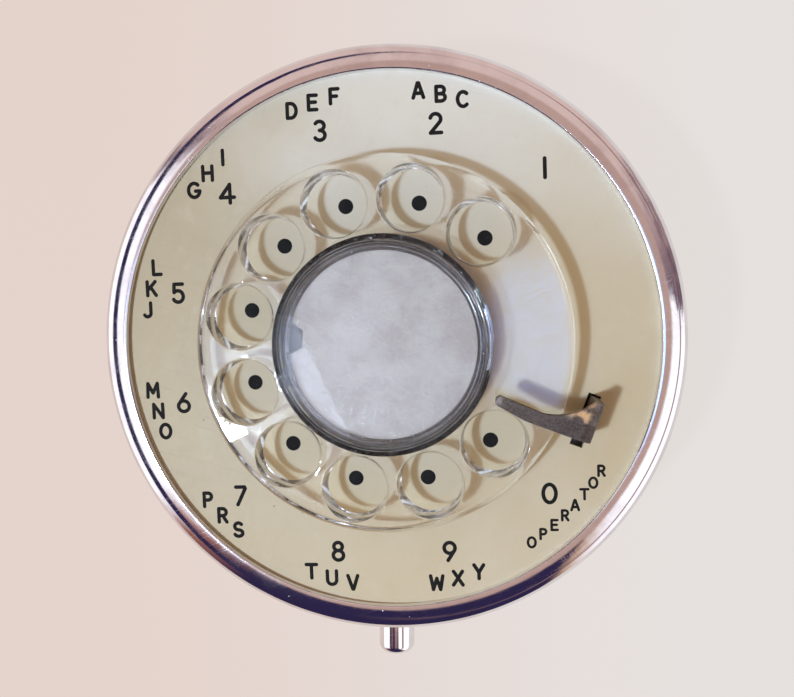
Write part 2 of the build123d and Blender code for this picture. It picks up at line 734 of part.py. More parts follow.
def gear_outline(teeth, turned=0.0):
    """A closed involute outline in the current line context, one tooth centred at `turned` degrees."""
    pitch_r = gear_module * teeth / 2
    base_r = pitch_r * math.cos(pressure_angle)
    tip_r = pitch_r + addendum
    root_r = pitch_r - dedendum
    start_r = max(root_r, base_r)
    half_tooth = 90 / teeth - math.degrees(backlash / 2 / pitch_r)

    def half_at(radius):
        return half_tooth + involute(pressure_angle) - involute(math.acos(min(1, base_r / radius)))

    middle_r = (start_r + tip_r) / 2
    for tooth in range(teeth):
        centre = turned + tooth * 360 / teeth
        before, after = [
            [polar(radius, centre + side * half_at(radius)) for radius in (start_r, middle_r, tip_r)]
            for side in (-1, 1)
        ]
        next_start = polar(root_r, centre + 360 / teeth - half_at(start_r))
        if root_r < base_r:
            Line(polar(root_r, centre - half_at(start_r)), before[0])
            Line(after[0], polar(root_r, centre + half_at(start_r)))
        ThreePointArc(*before)
        Line(before[2], after[2])
        ThreePointArc(*reversed(after))
        Line(polar(root_r, centre + half_at(start_r)), next_start)


stud_r = 1.0
stud_at = polar(14.0, 60)

with BuildPart() as drive_gear:
    with BuildSketch(Plane.XY.offset(gear_z)):
        with BuildLine():
            gear_outline(gear_teeth)
        make_face()
        with PolarLocations(15.5, 4, start_angle=105):
            Circle(5.0, mode=Mode.SUBTRACT)
    extrude(amount=gear_t)
    with BuildSketch(Plane.XY.offset(gear_z - 0.8)):
        Circle(shaft_r + 2.0)
    extrude(amount=0.8)
    with BuildSketch(Plane.XY.offset(gear_z - 0.8)):
        Circle(shaft_r + run_gap)
        with Locations(stud_at):
            Circle(stud_r + seat_gap)
    extrude(amount=gear_t + 0.8, mode=Mode.SUBTRACT)
drive_gear.part.label = "drive_gear"
export_step(drive_gear.part, "parts/drive_gear.step")

pawl_z = ratchet_z
with BuildPart() as pawl_stud:
    with BuildSketch(Plane.XY.offset(pawl_z - run_gap - 0.7)):
        with Locations(stud_at):
            Circle(stud_r + 0.8)
    extrude(amount=0.7)
    with BuildSketch(Plane.XY.offset(pawl_z - run_gap)):
        with Locations(stud_at):
            Circle(stud_r)
    extrude(amount=gear_z + gear_t - pawl_z + run_gap)
pawl_stud.part.label = "pawl_stud"
export_step(pawl_stud.part, "parts/pawl_stud.step")

with BuildPart() as pawl:
    with BuildSketch(Plane.XY.offset(pawl_z)):
        with Locations(stud_at):
            Circle(stud_r + 1.3)
        with Locations(polar(ratchet_r + 1.0, 92)):
            Circle(0.7)
        make_hull()
        with Locations(stud_at):
            Circle(stud_r + run_gap, mode=Mode.SUBTRACT)
    extrude(amount=ratchet_t)
pawl.part.label = "pawl"
export_step(pawl.part, "parts/pawl.step")

pulse_z = pulse_pile.origin.Z
pulse_lobe_r = pulse_pile.origin.X - blade_t / 2 - near_gap - arbor_x

with BuildPart() as pulse_arbor:
    with BuildSketch(Plane.XY.offset(bridge_z - 1.0)):
        with Locations((arbor_x, 0)):
            Circle(arbor_r)
    extrude(amount=frame_top + 1.0 - (bridge_z - 1.0))
pulse_arbor.part.label = "pulse_arbor"
export_step(pulse_arbor.part, "parts/pulse_arbor.step")

with BuildPart() as arbor_pinion:
    with BuildSketch(Plane(origin=(arbor_x, 0, gear_z - 0.5))):
        with BuildLine():
            gear_outline(pinion_teeth, turned=180 / pinion_teeth)
        make_face()
        Circle(arbor_r + seat_gap, mode=Mode.SUBTRACT)
    extrude(amount=gear_t + 1.0)
arbor_pinion.part.label = "arbor_pinion"
export_step(arbor_pinion.part, "parts/arbor_pinion.step")

with BuildPart() as pulse_cam:
    with BuildSketch(Plane(origin=(arbor_x, 0, pulse_z - cam_t / 2))):
        Circle(3.2)
        with Locations((0, pulse_lobe_r - 1.0), (0, 1.0 - pulse_lobe_r)):
            Circle(1.0)
        make_hull()
        Circle(arbor_r + seat_gap, mode=Mode.SUBTRACT)
    extrude(amount=cam_t)
pulse_cam.part.label = "pulse_cam"
export_step(pulse_cam.part, "parts/pulse_cam.step")

wheel_tooth = 0.7            # thickness of a worm wheel tooth
worm_depth = 0.45            # how far thread and teeth reach past the pitch surfaces
worm_wheel_t = 3.0

with BuildPart(Plane(origin=(arbor_x, 0, worm_z))) as worm_wheel:
    Cylinder(worm_wheel_r - 0.75, worm_wheel_t)
    with PolarLocations(worm_wheel_r - 0.3, worm_wheel_teeth, start_angle=180):
        tooth_height = 2 * (worm_depth + 0.3)
        Box(tooth_height, wheel_tooth, worm_wheel_t, rotation=(-worm_angle, 0, 0))
    Cylinder(arbor_r + seat_gap, 2 * worm_wheel_t, mode=Mode.SUBTRACT)
worm_wheel.part.label = "worm_wheel"
export_step(worm_wheel.part, "parts/worm_wheel.step")

# ================================================================ governor
governor_axis = Plane(origin=(governor_x, 0, worm_z), x_dir=(1, 0, 0), z_dir=(0, 1, 0))
worm_lead = worm_starts * worm_axial_pitch
worm_half = 2.5 * worm_axial_pitch       # a thread gap faces the wheel's tooth at the middle
worm_core_r = worm_r - 0.6
pivot_r = 1.0
arm_t = 1.5
near_arm = -15.5             # outer faces of the bracket's arms, along the governor's shaft
far_arm = 23.5
drum_r = 9.6
drum_wall = 1.0
drum_depth = 9.5
drum_base_t = 1.5
weight_near = 13.5
weight_t = 5.0
weight_pivot_r = 4.6
weight_pin_r = 0.8
weight_inner_r = 3.4
weight_outer_r = 7.6
carrier_near = 11.6
carrier_bar_t = 1.6

with BuildPart() as worm_thread:
    with BuildLine() as thread_line:
        Helix(worm_lead, 2 * worm_half, worm_r, center=(0, 0, -worm_half))
    with BuildSketch(Plane(origin=thread_line.line @ 0, x_dir=(1, 0, 0), z_dir=thread_line.line % 0)):
        with BuildLine():
            Polyline(
                (-0.8, -0.42),
                (worm_depth, -0.25),
                (worm_depth, 0.25),
                (-0.8, 0.42),
                close=True,
            )
        make_face()
    sweep(is_frenet=True)

with BuildPart(governor_axis) as governor_shaft:
    with Locations((0, 0, near_arm - 0.6)):
        Cylinder(pivot_r, far_arm - near_arm + 1.2, align=SEAT)
    with Locations((0, 0, -worm_half - 1)):
        Cylinder(worm_core_r, 2 * worm_half + 2, align=SEAT)
    with Locations((0, 0, worm_half + 1)):
        Cylinder(1.6, carrier_near - worm_half - 1, align=SEAT)
    add(worm_thread.part)
    add(worm_thread.part, rotation=(0, 0, 180))
governor_shaft.part.label = "governor_shaft"
export_step(governor_shaft.part, "parts/governor_shaft.step")

with BuildPart(governor_axis) as weight_carrier:
    with BuildSketch(governor_axis.offset(carrier_near)):
        with Locations((weight_pivot_r, 0), (-weight_pivot_r, 0)):
            Circle(2.0)
        make_hull()
        Circle(pivot_r + seat_gap, mode=Mode.SUBTRACT)
    extrude(amount=carrier_bar_t)
    with BuildSketch(governor_axis.offset(carrier_near + carrier_bar_t)):
        with Locations((weight_pivot_r, 0), (-weight_pivot_r, 0)):
            Circle(weight_pin_r)
    extrude(amount=weight_near + weight_t + 0.6 - carrier_near - carrier_bar_t)
weight_carrier.part.label = "weight_carrier"
export_step(weight_carrier.part, "parts/weight_carrier.step")

for weight_name, facing in (("fly_weight_a", 0), ("fly_weight_b", 180)):
    turned_axis = governor_axis * Pos(0, 0, weight_near) * Rotation(0, 0, facing)
    with BuildPart() as fly_weight:
        with BuildSketch(Plane(turned_axis)):
            with BuildLine():
                CenterArc((0, 0), weight_outer_r, 0, 150)
                CenterArc((0, 0), weight_inner_r, 0, 150)
                Line(polar(weight_inner_r, 150), polar(weight_outer_r, 150))
                Line((weight_inner_r, 0), (weight_outer_r, 0))
            make_face()
            with Locations((weight_pivot_r + 0.6, 0)):
                Circle(2.2)
            with Locations((weight_pivot_r, 0)):
                Circle(weight_pin_r + run_gap, mode=Mode.SUBTRACT)
        extrude(amount=weight_t)
    fly_weight.part.label = weight_name
    export_step(fly_weight.part, f"parts/{weight_name}.step")

with BuildPart() as brake_drum:
    drum_open = far_arm - arm_t - drum_base_t - drum_depth
    with BuildSketch(governor_axis.offset(drum_open)):
        Circle(drum_r)
    extrude(amount=drum_depth + drum_base_t)
    with BuildSketch(governor_axis.offset(drum_open)):
        Circle(drum_r - drum_wall)
    extrude(amount=drum_depth, mode=Mode.SUBTRACT)
    with BuildSketch(governor_axis.offset(drum_open)):
        Circle(pivot_r + 1.0)
    extrude(amount=drum_depth + drum_base_t, mode=Mode.SUBTRACT)
brake_drum.part.label = "brake_drum"
export_step(brake_drum.part, "parts/brake_drum.step")

bracket_width = 7.0
bracket_drop = worm_z - 4.5      # lower end of the arms

with BuildPart() as governor_bracket:
    with BuildSketch(Plane(origin=(governor_x, 0, 0), x_dir=(0, 1, 0), z_dir=(1, 0, 0))):
        with BuildLine():
            Polyline(
                (near_arm, bracket_drop),
                (near_arm, frame_z),
                (far_arm, frame_z),
                (far_arm, bracket_drop),
                (far_arm - arm_t, bracket_drop),
                (far_arm - arm_t, frame_z - arm_t),
                (near_arm + arm_t, frame_z - arm_t),
                (near_arm + arm_t, bracket_drop),
                close=True,
            )
        make_face()
    extrude(amount=bracket_width / 2, both=True)
    with BuildSketch(governor_axis.offset(near_arm)):
        Circle(pivot_r + run_gap)
    extrude(amount=far_arm - near_arm, mode=Mode.SUBTRACT)
    with BuildSketch(Plane.XY.offset(frame_z - arm_t)):
        with Locations(*governor_screws_at):
            Circle(M2[2] + seat_gap)
    extrude(amount=arm_t, mode=Mode.SUBTRACT)
governor_bracket.part.label = "governor_bracket"
export_step(governor_bracket.part, "parts/governor_bracket.step")

# ================================================================ line-switch plunger
bushing_flange_r = plunger_r + 2.5
bushing_out = case_r + 2.2           # distances along the plunger from the dial's axis
bushing_in = 48.8
collar_t = 1.5
collar_out = bushing_in - near_gap   # the collar stops on the bushing's inner end
collar_r = plunger_r + 1.5
stem_r = 2.0
stem_end = -line_pile.origin.Y + blade_t / 2 + near_gap
guide_t = 1.2
guide_near = 36.0
guide_width = 12.0
guide_foot = 46.0
nut_flats = 12.0
nut_t = 2.4

with BuildPart() as plunger_bushing:
    with BuildSketch(plunger_axis.offset(case_r - 1.5)):
        Circle(bushing_flange_r)
    extrude(amount=bushing_out - case_r + 1.5)
    flange_rim = plunger_bushing.edges().filter_by(GeomType.CIRCLE).group_by(Axis.Y)[0]
    fillet(flange_rim.sort_by(SortBy.RADIUS)[-1], 0.5)
    # the flange's back is hollowed to sit on the round cup
    with BuildSketch(Plane.XY):
        Circle(case_r + seat_gap)
    extrude(amount=case_rim_z, mode=Mode.SUBTRACT)
    with BuildSketch(plunger_axis.offset(bushing_in)):
        Circle(bushing_barrel_r)
    extrude(amount=case_r + 0.5 - bushing_in)
    with BuildSketch(plunger_axis.offset(bushing_in)):
        Circle(plunger_r + run_gap)
    extrude(amount=bushing_out - bushing_in, mode=Mode.SUBTRACT)
plunger_bushing.part.label = "plunger_bushing"
export_step(plunger_bushing.part, "parts/plunger_bushing.step")

with BuildPart() as bushing_nut:
    nut_corner_r = nut_flats / math.sqrt(3)
    nut_face = math.sqrt(case_in_r**2 - nut_corner_r**2) - run_gap
    with BuildSketch(plunger_axis.offset(nut_face - nut_t)):
        RegularPolygon(nut_flats / 2, 6, major_radius=False)
        Circle(bushing_barrel_r + seat_gap, mode=Mode.SUBTRACT)
    extrude(amount=nut_t)
bushing_nut.part.label = "bushing_nut"
export_step(bushing_nut.part, "parts/bushing_nut.step")

with BuildPart() as plunger:
    with BuildSketch(plunger_axis.offset(stem_end)):
        Circle(stem_r)
    extrude(amount=collar_out - stem_end)
    with BuildSketch(plunger_axis.offset(collar_out - collar_t)):
        Circle(collar_r)
    extrude(amount=collar_t)
    with BuildSketch(plunger_axis.offset(collar_out)):
        Circle(plunger_r)
    extrude(amount=plunger_tip - collar_out)
    fillet(plunger.edges().filter_by(GeomType.CIRCLE).group_by(Axis.Y)[0], 0.45 * plunger_r)
plunger.part.label = "plunger"
export_step(plunger.part, "parts/plunger.step")

with BuildPart() as plunger_guide:
    with BuildSketch(Plane.YZ):
        with BuildLine():
            Polyline(
                (-guide_near, plunger_z - 4.5),
                (-guide_near, frame_z),
                (-guide_foot, frame_z),
                (-guide_foot, frame_z - guide_t),
                (-guide_near - guide_t, frame_z - guide_t),
                (-guide_near - guide_t, plunger_z - 4.5),
                close=True,
            )
        make_face()
    extrude(amount=guide_width / 2, both=True)
    with BuildSketch(plunger_axis.offset(guide_near - 1)):
        Circle(stem_r + run_gap)
    extrude(amount=guide_t + 2, mode=Mode.SUBTRACT)
    with BuildSketch(Plane.XY.offset(frame_z - guide_t)):
        with Locations(*guide_screws_at):
            Circle(M2[2] + seat_gap)
    extrude(amount=guide_t, mode=Mode.SUBTRACT)
plunger_guide.part.label = "plunger_guide"
export_step(plunger_guide.part, "parts/plunger_guide.step")

with BuildPart(Plane.XY.offset(frame_top)) as bracket_screws:
    with Locations(*governor_screws_at, *guide_screws_at):
        slotted_screw(M2, frame_t + arm_t)
bracket_screws.part.label = "bracket_screws"
export_step(bracket_screws.part, "parts/bracket_screws.step")

# ================================================================ contacts
blade_w = 4.0
blade_root = 1.5             # how far the moving blade reaches into its block
slot_gap = 0.45              # room in the block for the moving blade's root to rock
fixed_root = 7.0
button_r = 1.0
button_t = 0.6
block_margin = 2.6           # block beyond the outer blades

# name, place, blade length, fixed blade's length, contact's place, gap between the two blades
contact_sets = (
    ("pulse", pulse_pile, 22.0, 18.0, 15.0, 2.2),
    ("off_normal", off_normal_pile, 29.0, 20.0, 17.0, 2.2),
    ("line", line_pile, 26.0, 20.0, 18.0, 4.8),
)


def blade(start, end, level, button_at, button_side):
    """A contact blade from start to end along the plane's x, with its contact button."""
    with Locations(((start + end) / 2, 0, level)):
        Box(end - start, blade_w, blade_t)
    with Locations((button_at, 0, level + button_side * (blade_t + button_t) / 2)):
        Cylinder(button_r, button_t)


for set_name, pile, blade_end, fixed_end, contact_at, blade_gap in contact_sets:
    to_fixed = -1 if set_name == "pulse" else 1
    fixed_level = to_fixed * blade_gap
    block_low = min(0, fixed_level) - block_margin
    block_high = max(0, fixed_level) + block_margin
    with BuildPart(pile) as moving_blade:
        blade(-blade_root, blade_end, 0, contact_at, to_fixed)
    moving_blade.part.label = f"{set_name}_moving_blade"
    export_step(moving_blade.part, f"parts/{set_name}_moving_blade.step")

    with BuildPart(pile) as fixed_blade:
        blade(-fixed_root, fixed_end, fixed_level, contact_at, -to_fixed)
    fixed_blade.part.label = f"{set_name}_fixed_blade"
    export_step(fixed_blade.part, f"parts/{set_name}_fixed_blade.step")

    block_top = frame_z - pile.origin.Z
    block_bottom = -blade_w / 2 - 1.0
    with BuildPart(pile) as contact_block:
        with Locations((-pile_length / 2, (block_top + block_bottom) / 2, (block_low + block_high) / 2)):
            Box(pile_length, block_top - block_bottom, block_high - block_low)
        slot_size = (2 * (blade_root + near_gap), blade_w + 2 * near_gap, blade_t + 2 * slot_gap)
        Box(*slot_size, mode=Mode.SUBTRACT)
        with Locations((-fixed_root / 2, 0, fixed_level)):
            Box(fixed_root + 2 * seat_gap, blade_w + 2 * seat_gap, blade_t + 2 * seat_gap, mode=Mode.SUBTRACT)
        with BuildSketch(Plane.XY.offset(frame_z)):
            with Locations(*pile_screws_at(pile)):
                Circle(M2[2] + seat_gap)
        extrude(amount=-5.0, mode=Mode.SUBTRACT)
    contact_block.part.label = f"{set_name}_contact_block"
    export_step(contact_block.part, f"parts/{set_name}_contact_block.step")

with BuildPart(Plane.XY.offset(frame_top)) as contact_screws:
    with Locations(*pile_screws):
        slotted_screw(M2, frame_t + 4.5)
contact_screws.part.label = "contact_screws"
export_step(contact_screws.part, "parts/contact_screws.step")

# ================================================================ springs
main_wire_r = 0.6
main_coil_r = 6.4
main_turns = 7
main_spring_z = bridge_top + main_wire_r + near_gap
main_spring_length = cam_z - bridge_top - 2 * (main_wire_r + near_gap)

with BuildPart() as main_spring:
    with BuildLine() as main_coil:
        Helix(main_spring_length / main_turns, main_spring_length, main_coil_r, center=(0, 0, main_spring_z))
    with BuildSketch(Plane(origin=main_coil.line @ 0, x_dir=(1, 0, 0), z_dir=main_coil.line % 0)):
        Circle(main_wire_r)
    sweep(is_frenet=True)
main_spring.part.label = "main_spring"
export_step(main_spring.part, "parts/main_spring.step")

plunger_wire_r = 0.35
plunger_coil_r = 4.0
plunger_turns = 6
plunger_spring_start = guide_near + guide_t + plunger_wire_r + 0.1
plunger_spring_length = collar_out - collar_t - 0.1 - plunger_wire_r - plunger_spring_start

with BuildPart() as plunger_spring:
    with BuildLine() as plunger_coil:
        Helix(
            plunger_spring_length / plunger_turns,
            plunger_spring_length,
            plunger_coil_r,
            center=(0, -plunger_spring_start, plunger_z),
            direction=(0, -1, 0),
        )
    with BuildSketch(Plane(origin=plunger_coil.line @ 0, z_dir=plunger_coil.line % 0)):
        Circle(plunger_wire_r)
    sweep(is_frenet=True)
plunger_spring.part.label = "plunger_spring"
export_step(plunger_spring.part, "parts/plunger_spring.step")
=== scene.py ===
# %% [markdown]
# # A rotary dial instrument in a chromed case
#
# This lesson dresses a finished mechanical model. The mechanism, its sizes and its joints are
# already settled, so nothing here moves or resizes them. What this file adds is what the eye meets:
# polished metal with rounded edges, clear moulded plastic, printed numbers, and finishes that show
# their age. Lengths are in millimetres while a piece is modelled, and each finished piece is scaled
# to metres.

# %% Load the mechanism
import json
import math
import bmesh
import bpy
from mathutils import Euler, Matrix, Vector


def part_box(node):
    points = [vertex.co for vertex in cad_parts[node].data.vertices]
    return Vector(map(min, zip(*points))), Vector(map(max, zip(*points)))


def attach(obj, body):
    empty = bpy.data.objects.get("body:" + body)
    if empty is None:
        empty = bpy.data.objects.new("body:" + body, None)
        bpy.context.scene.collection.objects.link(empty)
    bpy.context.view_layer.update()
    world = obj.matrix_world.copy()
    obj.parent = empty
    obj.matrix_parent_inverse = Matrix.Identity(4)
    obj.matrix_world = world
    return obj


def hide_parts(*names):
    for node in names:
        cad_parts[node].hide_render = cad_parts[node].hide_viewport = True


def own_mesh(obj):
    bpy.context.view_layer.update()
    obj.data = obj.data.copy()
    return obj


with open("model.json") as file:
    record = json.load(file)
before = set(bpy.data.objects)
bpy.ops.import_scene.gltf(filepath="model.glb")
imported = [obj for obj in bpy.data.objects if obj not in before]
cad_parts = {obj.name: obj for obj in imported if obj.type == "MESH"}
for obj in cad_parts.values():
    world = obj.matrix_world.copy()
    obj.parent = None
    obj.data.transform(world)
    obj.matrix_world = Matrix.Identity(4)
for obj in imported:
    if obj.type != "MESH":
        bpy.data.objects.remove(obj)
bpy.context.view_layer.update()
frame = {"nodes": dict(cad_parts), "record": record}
MM = 0.001


def corners(node):
    """Lowest and highest corner of a node of the mechanism, in millimetres."""
    low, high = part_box(node)
    return low / MM, high / MM


# %% [markdown]
# ## Camera
#
# The dial is seen from straight in front, at arm's length, with the camera tipped a few degrees.
# The camera stands over the number plate, so its height is counted from the plate's face.

# %% Place the camera
PLATE_TOP = corners("number_plate")[1].z
CAMERA_AT = Vector((19.8, 11.4, PLATE_TOP + 174.2))
CAMERA_TILT = Euler([math.radians(angle) for angle in (-4.12, 5.83, -0.11)], "XYZ")

camera_data = bpy.data.cameras.new("camera")
camera_data.lens = 39.25
camera_data.sensor_width = 36
camera_data.clip_start = 0.01
camera = bpy.data.objects.new("camera", camera_data)
camera.location = CAMERA_AT * MM
camera.rotation_euler = CAMERA_TILT
bpy.context.scene.collection.objects.link(camera)
bpy.context.scene.camera = camera
bpy.context.scene.view_settings.view_transform = "Standard"
print("camera", round(CAMERA_AT.z - PLATE_TOP, 1), "mm above the number plate")

# %% [markdown]
# ## Writing patterns as sums
#
# A shader's pattern is arithmetic on numbers that change over the surface. Wiring every sum by hand
# hides the idea, so two small classes are used. A Field is one output of a node, and adding or
# multiplying two Fields adds the Math node that does it. A Finish is one material, and its `node`
# method makes any other node.

# %% Fields and finishes
class Field:
    """One output of a node. Arithmetic on it adds Math nodes."""

    def __init__(self, finish, socket):
        self.finish = finish
        self.socket = socket

    def math(self, operation, *values):
        return self.finish.node("ShaderNodeMath", {"operation": operation}, dict(enumerate(values)))

    def __add__(self, other):
        return self.math("ADD", self, other)

    __radd__ = __add__

    def __sub__(self, other):
        return self.math("SUBTRACT", self, other)

    def __rsub__(self, other):
        return self.math("SUBTRACT", other, self)

    def __mul__(self, other):
        return self.math("MULTIPLY", self, other)

    __rmul__ = __mul__

    def __truediv__(self, other):
        return self.math("DIVIDE", self, other)

    def power(self, exponent):
        return self.math("POWER", self, exponent)

    def size(self):
        return self.math("ABSOLUTE", self)

    def larger(self, other):
        return self.math("MAXIMUM", self, other)

    def step(self, low, high):
        """0 below low, 1 above high, with a soft rise between."""
        values = {0: self, 1: low, 2: high, 3: 0.0, 4: 1.0}
        return self.finish.node("ShaderNodeMapRange", {"interpolation_type": "SMOOTHSTEP"}, values)


class Finish:
    """One material, with its nodes."""

    def __init__(self, name, tree=None, **shader):
        if tree is None:
            self.material = bpy.data.materials.new(name)
            self.material.use_nodes = True
            tree = self.material.node_tree
        self.tree = tree
        self.shader = tree.nodes.get("Principled BSDF")
        self.place = None
        for socket, value in shader.items():
            self.set(socket.replace("_", " "), value)

    def node(self, kind, settings=None, values=None, result=0):
        """A node of this kind: its settings first, then its sockets. Returns one output."""
        made = self.tree.nodes.new(kind)
        for name, value in (settings or {}).items():
            if name == "stops":
                self.set_stops(made.color_ramp, value)
            else:
                setattr(made, name, value)
        for key, value in (values or {}).items():
            self.plug(made.inputs[key], value)
        return Field(self, made.outputs[result])

    def set_stops(self, ramp, stops):
        while len(ramp.elements) < len(stops):
            ramp.elements.new(1.0)
        for element, (position, colour) in zip(ramp.elements, stops):
            element.position = position
            element.color = (*colour, 1.0)

    def plug(self, socket, value):
        if isinstance(value, Field):
            self.tree.links.new(value.socket, socket)
        elif socket.type == "RGBA":
            socket.default_value = (*value, 1.0)
        else:
            socket.default_value = value

    def set(self, socket, value):
        self.plug(self.shader.inputs[socket], value)

    def at(self):
        """The place on the piece, in metres."""
        if self.place is None:
            self.place = self.node("ShaderNodeTexCoord", result="Object")
        return self.place

    def axis(self, letter):
        return self.node("ShaderNodeSeparateXYZ", None, {0: self.at()}, letter)

    def mapped(self, scale=(1, 1, 1), turn=0.0, shift=(0, 0, 0)):
        """The place, turned about Z and stretched."""
        values = {0: self.at(), 1: shift, 2: (0, 0, math.radians(turn)), 3: scale}
        return self.node("ShaderNodeMapping", {"vector_type": "TEXTURE"}, values)

    def noise(self, grain, detail=4.0, rough=0.55):
        """Cloudy noise whose blobs are about `grain` millimetres across, from 0 to 1."""
        values = {0: self.at(), 2: 1 / (grain * MM), 3: detail, 4: rough}
        return self.node("ShaderNodeTexNoise", None, values, "Fac")

    def specks(self, spacing, size):
        """1 inside small round specks, one in each cell of `spacing` millimetres."""
        values = {"Vector": self.at(), "Scale": 1 / (spacing * MM), "Randomness": 1.0}
        far = self.node("ShaderNodeTexVoronoi", {"feature": "F1"}, values, "Distance")
        return 1 - far.step(size * 0.6, size)

    def scratches(self, turn, length, width, share, shift=0.0):
        """Fine straight scratches, `length` by `width` millimetres, over about this share."""
        stretched = self.mapped((length * MM, width * MM, length * MM), turn, (shift, shift, 0))
        values = {0: stretched, 2: 1.0, 3: 1.0, 4: 0.4, 8: 0.12}
        streak = self.node("ShaderNodeTexNoise", None, values, "Fac")
        return streak.step(0.74 - share, 0.78 - share)

    def mix(self, factor, first, second, blend="MIX"):
        """Two colours mixed."""
        settings = {"data_type": "RGBA", "blend_type": blend, "clamp_factor": True}
        return self.node("ShaderNodeMix", settings, {0: factor, 6: first, 7: second}, 2)

    def bump(self, height, distance, strength=1.0):
        """Relief `distance` millimetres high."""
        values = {"Height": height, "Distance": distance * MM, "Strength": strength}
        self.set("Normal", self.node("ShaderNodeBump", None, values, "Normal"))

    def wear(self, *nodes):
        """Puts this finish on nodes of the mechanism."""
        for node in nodes:
            slots = frame["nodes"][node].material_slots
            for slot in slots:
                slot.material = self.material
            if not slots:
                frame["nodes"][node].data.materials.append(self.material)


print("patterns can be written as sums")

# %% [markdown]
# ## A studio of soft light
#
# Polished metal shows its surroundings more than itself. The room here is rosy beyond the top of
# the dial, dark navy below it, and has tall white windows at each side. Its walls are one colour
# ramp round the compass, with a pale ceiling over them. Glossy rays see that room; rays that light
# dull surfaces get an even warm glow; and the camera itself sees a plain pale backdrop.

# %% The room
world = bpy.data.worlds.new("studio")
world.use_nodes = True
bpy.context.scene.world = world
room = Finish("room", world.node_tree)
background = world.node_tree.nodes["Background"]

GLOW = (0.36, 0.245, 0.150)
BACKDROP = (0.80, 0.72, 0.68)
PINK = (0.75, 0.56, 0.52)
NAVY = (0.030, 0.022, 0.075)
PLUM = (0.16, 0.10, 0.14)
RUST = (0.40, 0.16, 0.12)
TAN = (0.62, 0.40, 0.28)
BROWN = (0.36, 0.22, 0.20)
WHITE = (1.30, 1.28, 1.36)
CEILING = (0.56, 0.38, 0.33)
SHEEN = (1.2, 1.7, 2.9)
LILAC = (1.3, 2.3, 4.9)

direction = room.node("ShaderNodeTexCoord", result="Generated")
east = room.node("ShaderNodeSeparateXYZ", None, {0: direction}, "X")
north = Field(room, east.socket.node.outputs["Y"])
height = Field(room, east.socket.node.outputs["Z"])
turn = north.math("ARCTAN2", north, east) / (2 * math.pi) + 0.5
clouds = room.node("ShaderNodeTexNoise", None, {0: direction, 2: 7.0, 3: 3.0}, "Fac")
ragged = turn + (clouds - 0.5) * 0.035
# places on the compass: 0 and 1 are west, 0.25 south, 0.5 east and 0.75 north
stops = [(0.0, WHITE), (0.085, WHITE), (0.115, RUST), (0.15, NAVY), (0.325, NAVY), (0.335, TAN),
         (0.36, WHITE), (0.505, WHITE), (0.515, PLUM), (0.555, (0.42, 0.29, 0.30)), (0.60, PINK),
         (0.895, PINK), (0.905, PLUM), (0.918, (0.62, 0.50, 0.52)), (0.925, WHITE)]
walls = room.node("ShaderNodeValToRGB", {"stops": stops}, {0: ragged}, "Color")
# the frame of the tall windows is the dark line in the white band of each side
right_side = east.step(-0.2, 0.2)
level = height + right_side * 0.07
sill = level.step(0.665, 0.685) * (1 - level.step(0.785, 0.805))
sill = sill * (1 - north.size().step(0.60, 0.75))
walls = room.mix(sill, walls, room.mix(right_side, NAVY, BROWN))
blots = room.node("ShaderNodeTexNoise", None, {0: direction, 2: 16.0, 3: 4.0, 4: 0.6}, "Fac")
blotted = turn.step(0.495, 0.51) * (1 - turn.step(0.60, 0.62)) * (1 - height.step(0.80, 0.88))
walls = room.mix(blots.step(0.48, 0.60) * blotted, walls, (0.10, 0.055, 0.10))
ceiling = height.step(0.90, 0.935)
seen = room.mix(ceiling, walls, CEILING)
print("walls of", len(stops), "stops under a pale ceiling")

# %% [markdown]
# Two soft patches of sky near the zenith are what the flat face of the clear wheel mirrors, so
# their places are slopes away from straight up. What is seen through thick plastic is broken into
# dark and bright streaks, colder on the left, and only rays that came through it meet them.

# %% Sky patches and streaks
across = east / height.larger(0.1)
along_sky = north / height.larger(0.1)
left_patch = (across.step(-0.40, -0.31) * (1 - across.step(-0.26, -0.20))
              * along_sky.step(-0.30, -0.20) * (1 - along_sky.step(-0.08, 0.06)))
right_patch = (across.step(-0.01, 0.035) * (1 - across.step(0.11, 0.17))
               * along_sky.step(-0.17, -0.10) * (1 - along_sky.step(0.0, 0.06)))
seen = room.mix(left_patch * (0.5 + clouds * 0.8), seen, SHEEN)
seen = room.mix(right_patch * (0.60 + blots * 0.8), seen, LILAC)
bright = blots.step(0.44, 0.54)
cold_streaks = room.mix(bright, (0.10, 0.085, 0.085), (1.7, 1.95, 2.3))
warm_streaks = room.mix(bright, (0.16, 0.11, 0.08), (1.0, 0.95, 0.95))
streaks = room.mix(right_side, cold_streaks, warm_streaks)
low_sky = 1 - height.step(0.93, 0.97)
ray = room.node("ShaderNodeLightPath", result="Is Diffuse Ray")
camera_ray = Field(room, ray.socket.node.outputs["Is Camera Ray"])
through = Field(room, ray.socket.node.outputs["Is Transmission Ray"])
seen = room.mix(through * low_sky * 0.85, seen, streaks)
lit = room.mix(ray, seen, GLOW)
room.plug(background.inputs["Color"], room.mix(camera_ray, lit, BACKDROP))
print("room with", len(world.node_tree.nodes), "nodes")

# %% [markdown]
# The main light is a small bright lamp at the lower left. A small lamp gives the crisp shadows that
# the thick clear plastic throws on the plate, and a wide dim panel at the same place softens them.
# The panel is hidden from glossy rays, because its square edge would show in the plastic.

# %% Lamps
KEY_AT = Vector((-0.215, -0.105, 0.62))
KEY_COLOUR = (0.72, 0.86, 1.0)


def lamp(name, place, aim, wide, high, power, colour):
    """A flat lamp at a place, turned to its aim."""
    data = bpy.data.lights.new(name, "AREA")
    data.shape = "RECTANGLE"
    data.size = wide
    data.size_y = high
    data.energy = power
    data.color = colour
    made = bpy.data.objects.new(name, data)
    made.location = place
    made.rotation_euler = (Vector(aim) - place).to_track_quat("-Z", "Y").to_euler()
    bpy.context.scene.collection.objects.link(made)
    return made


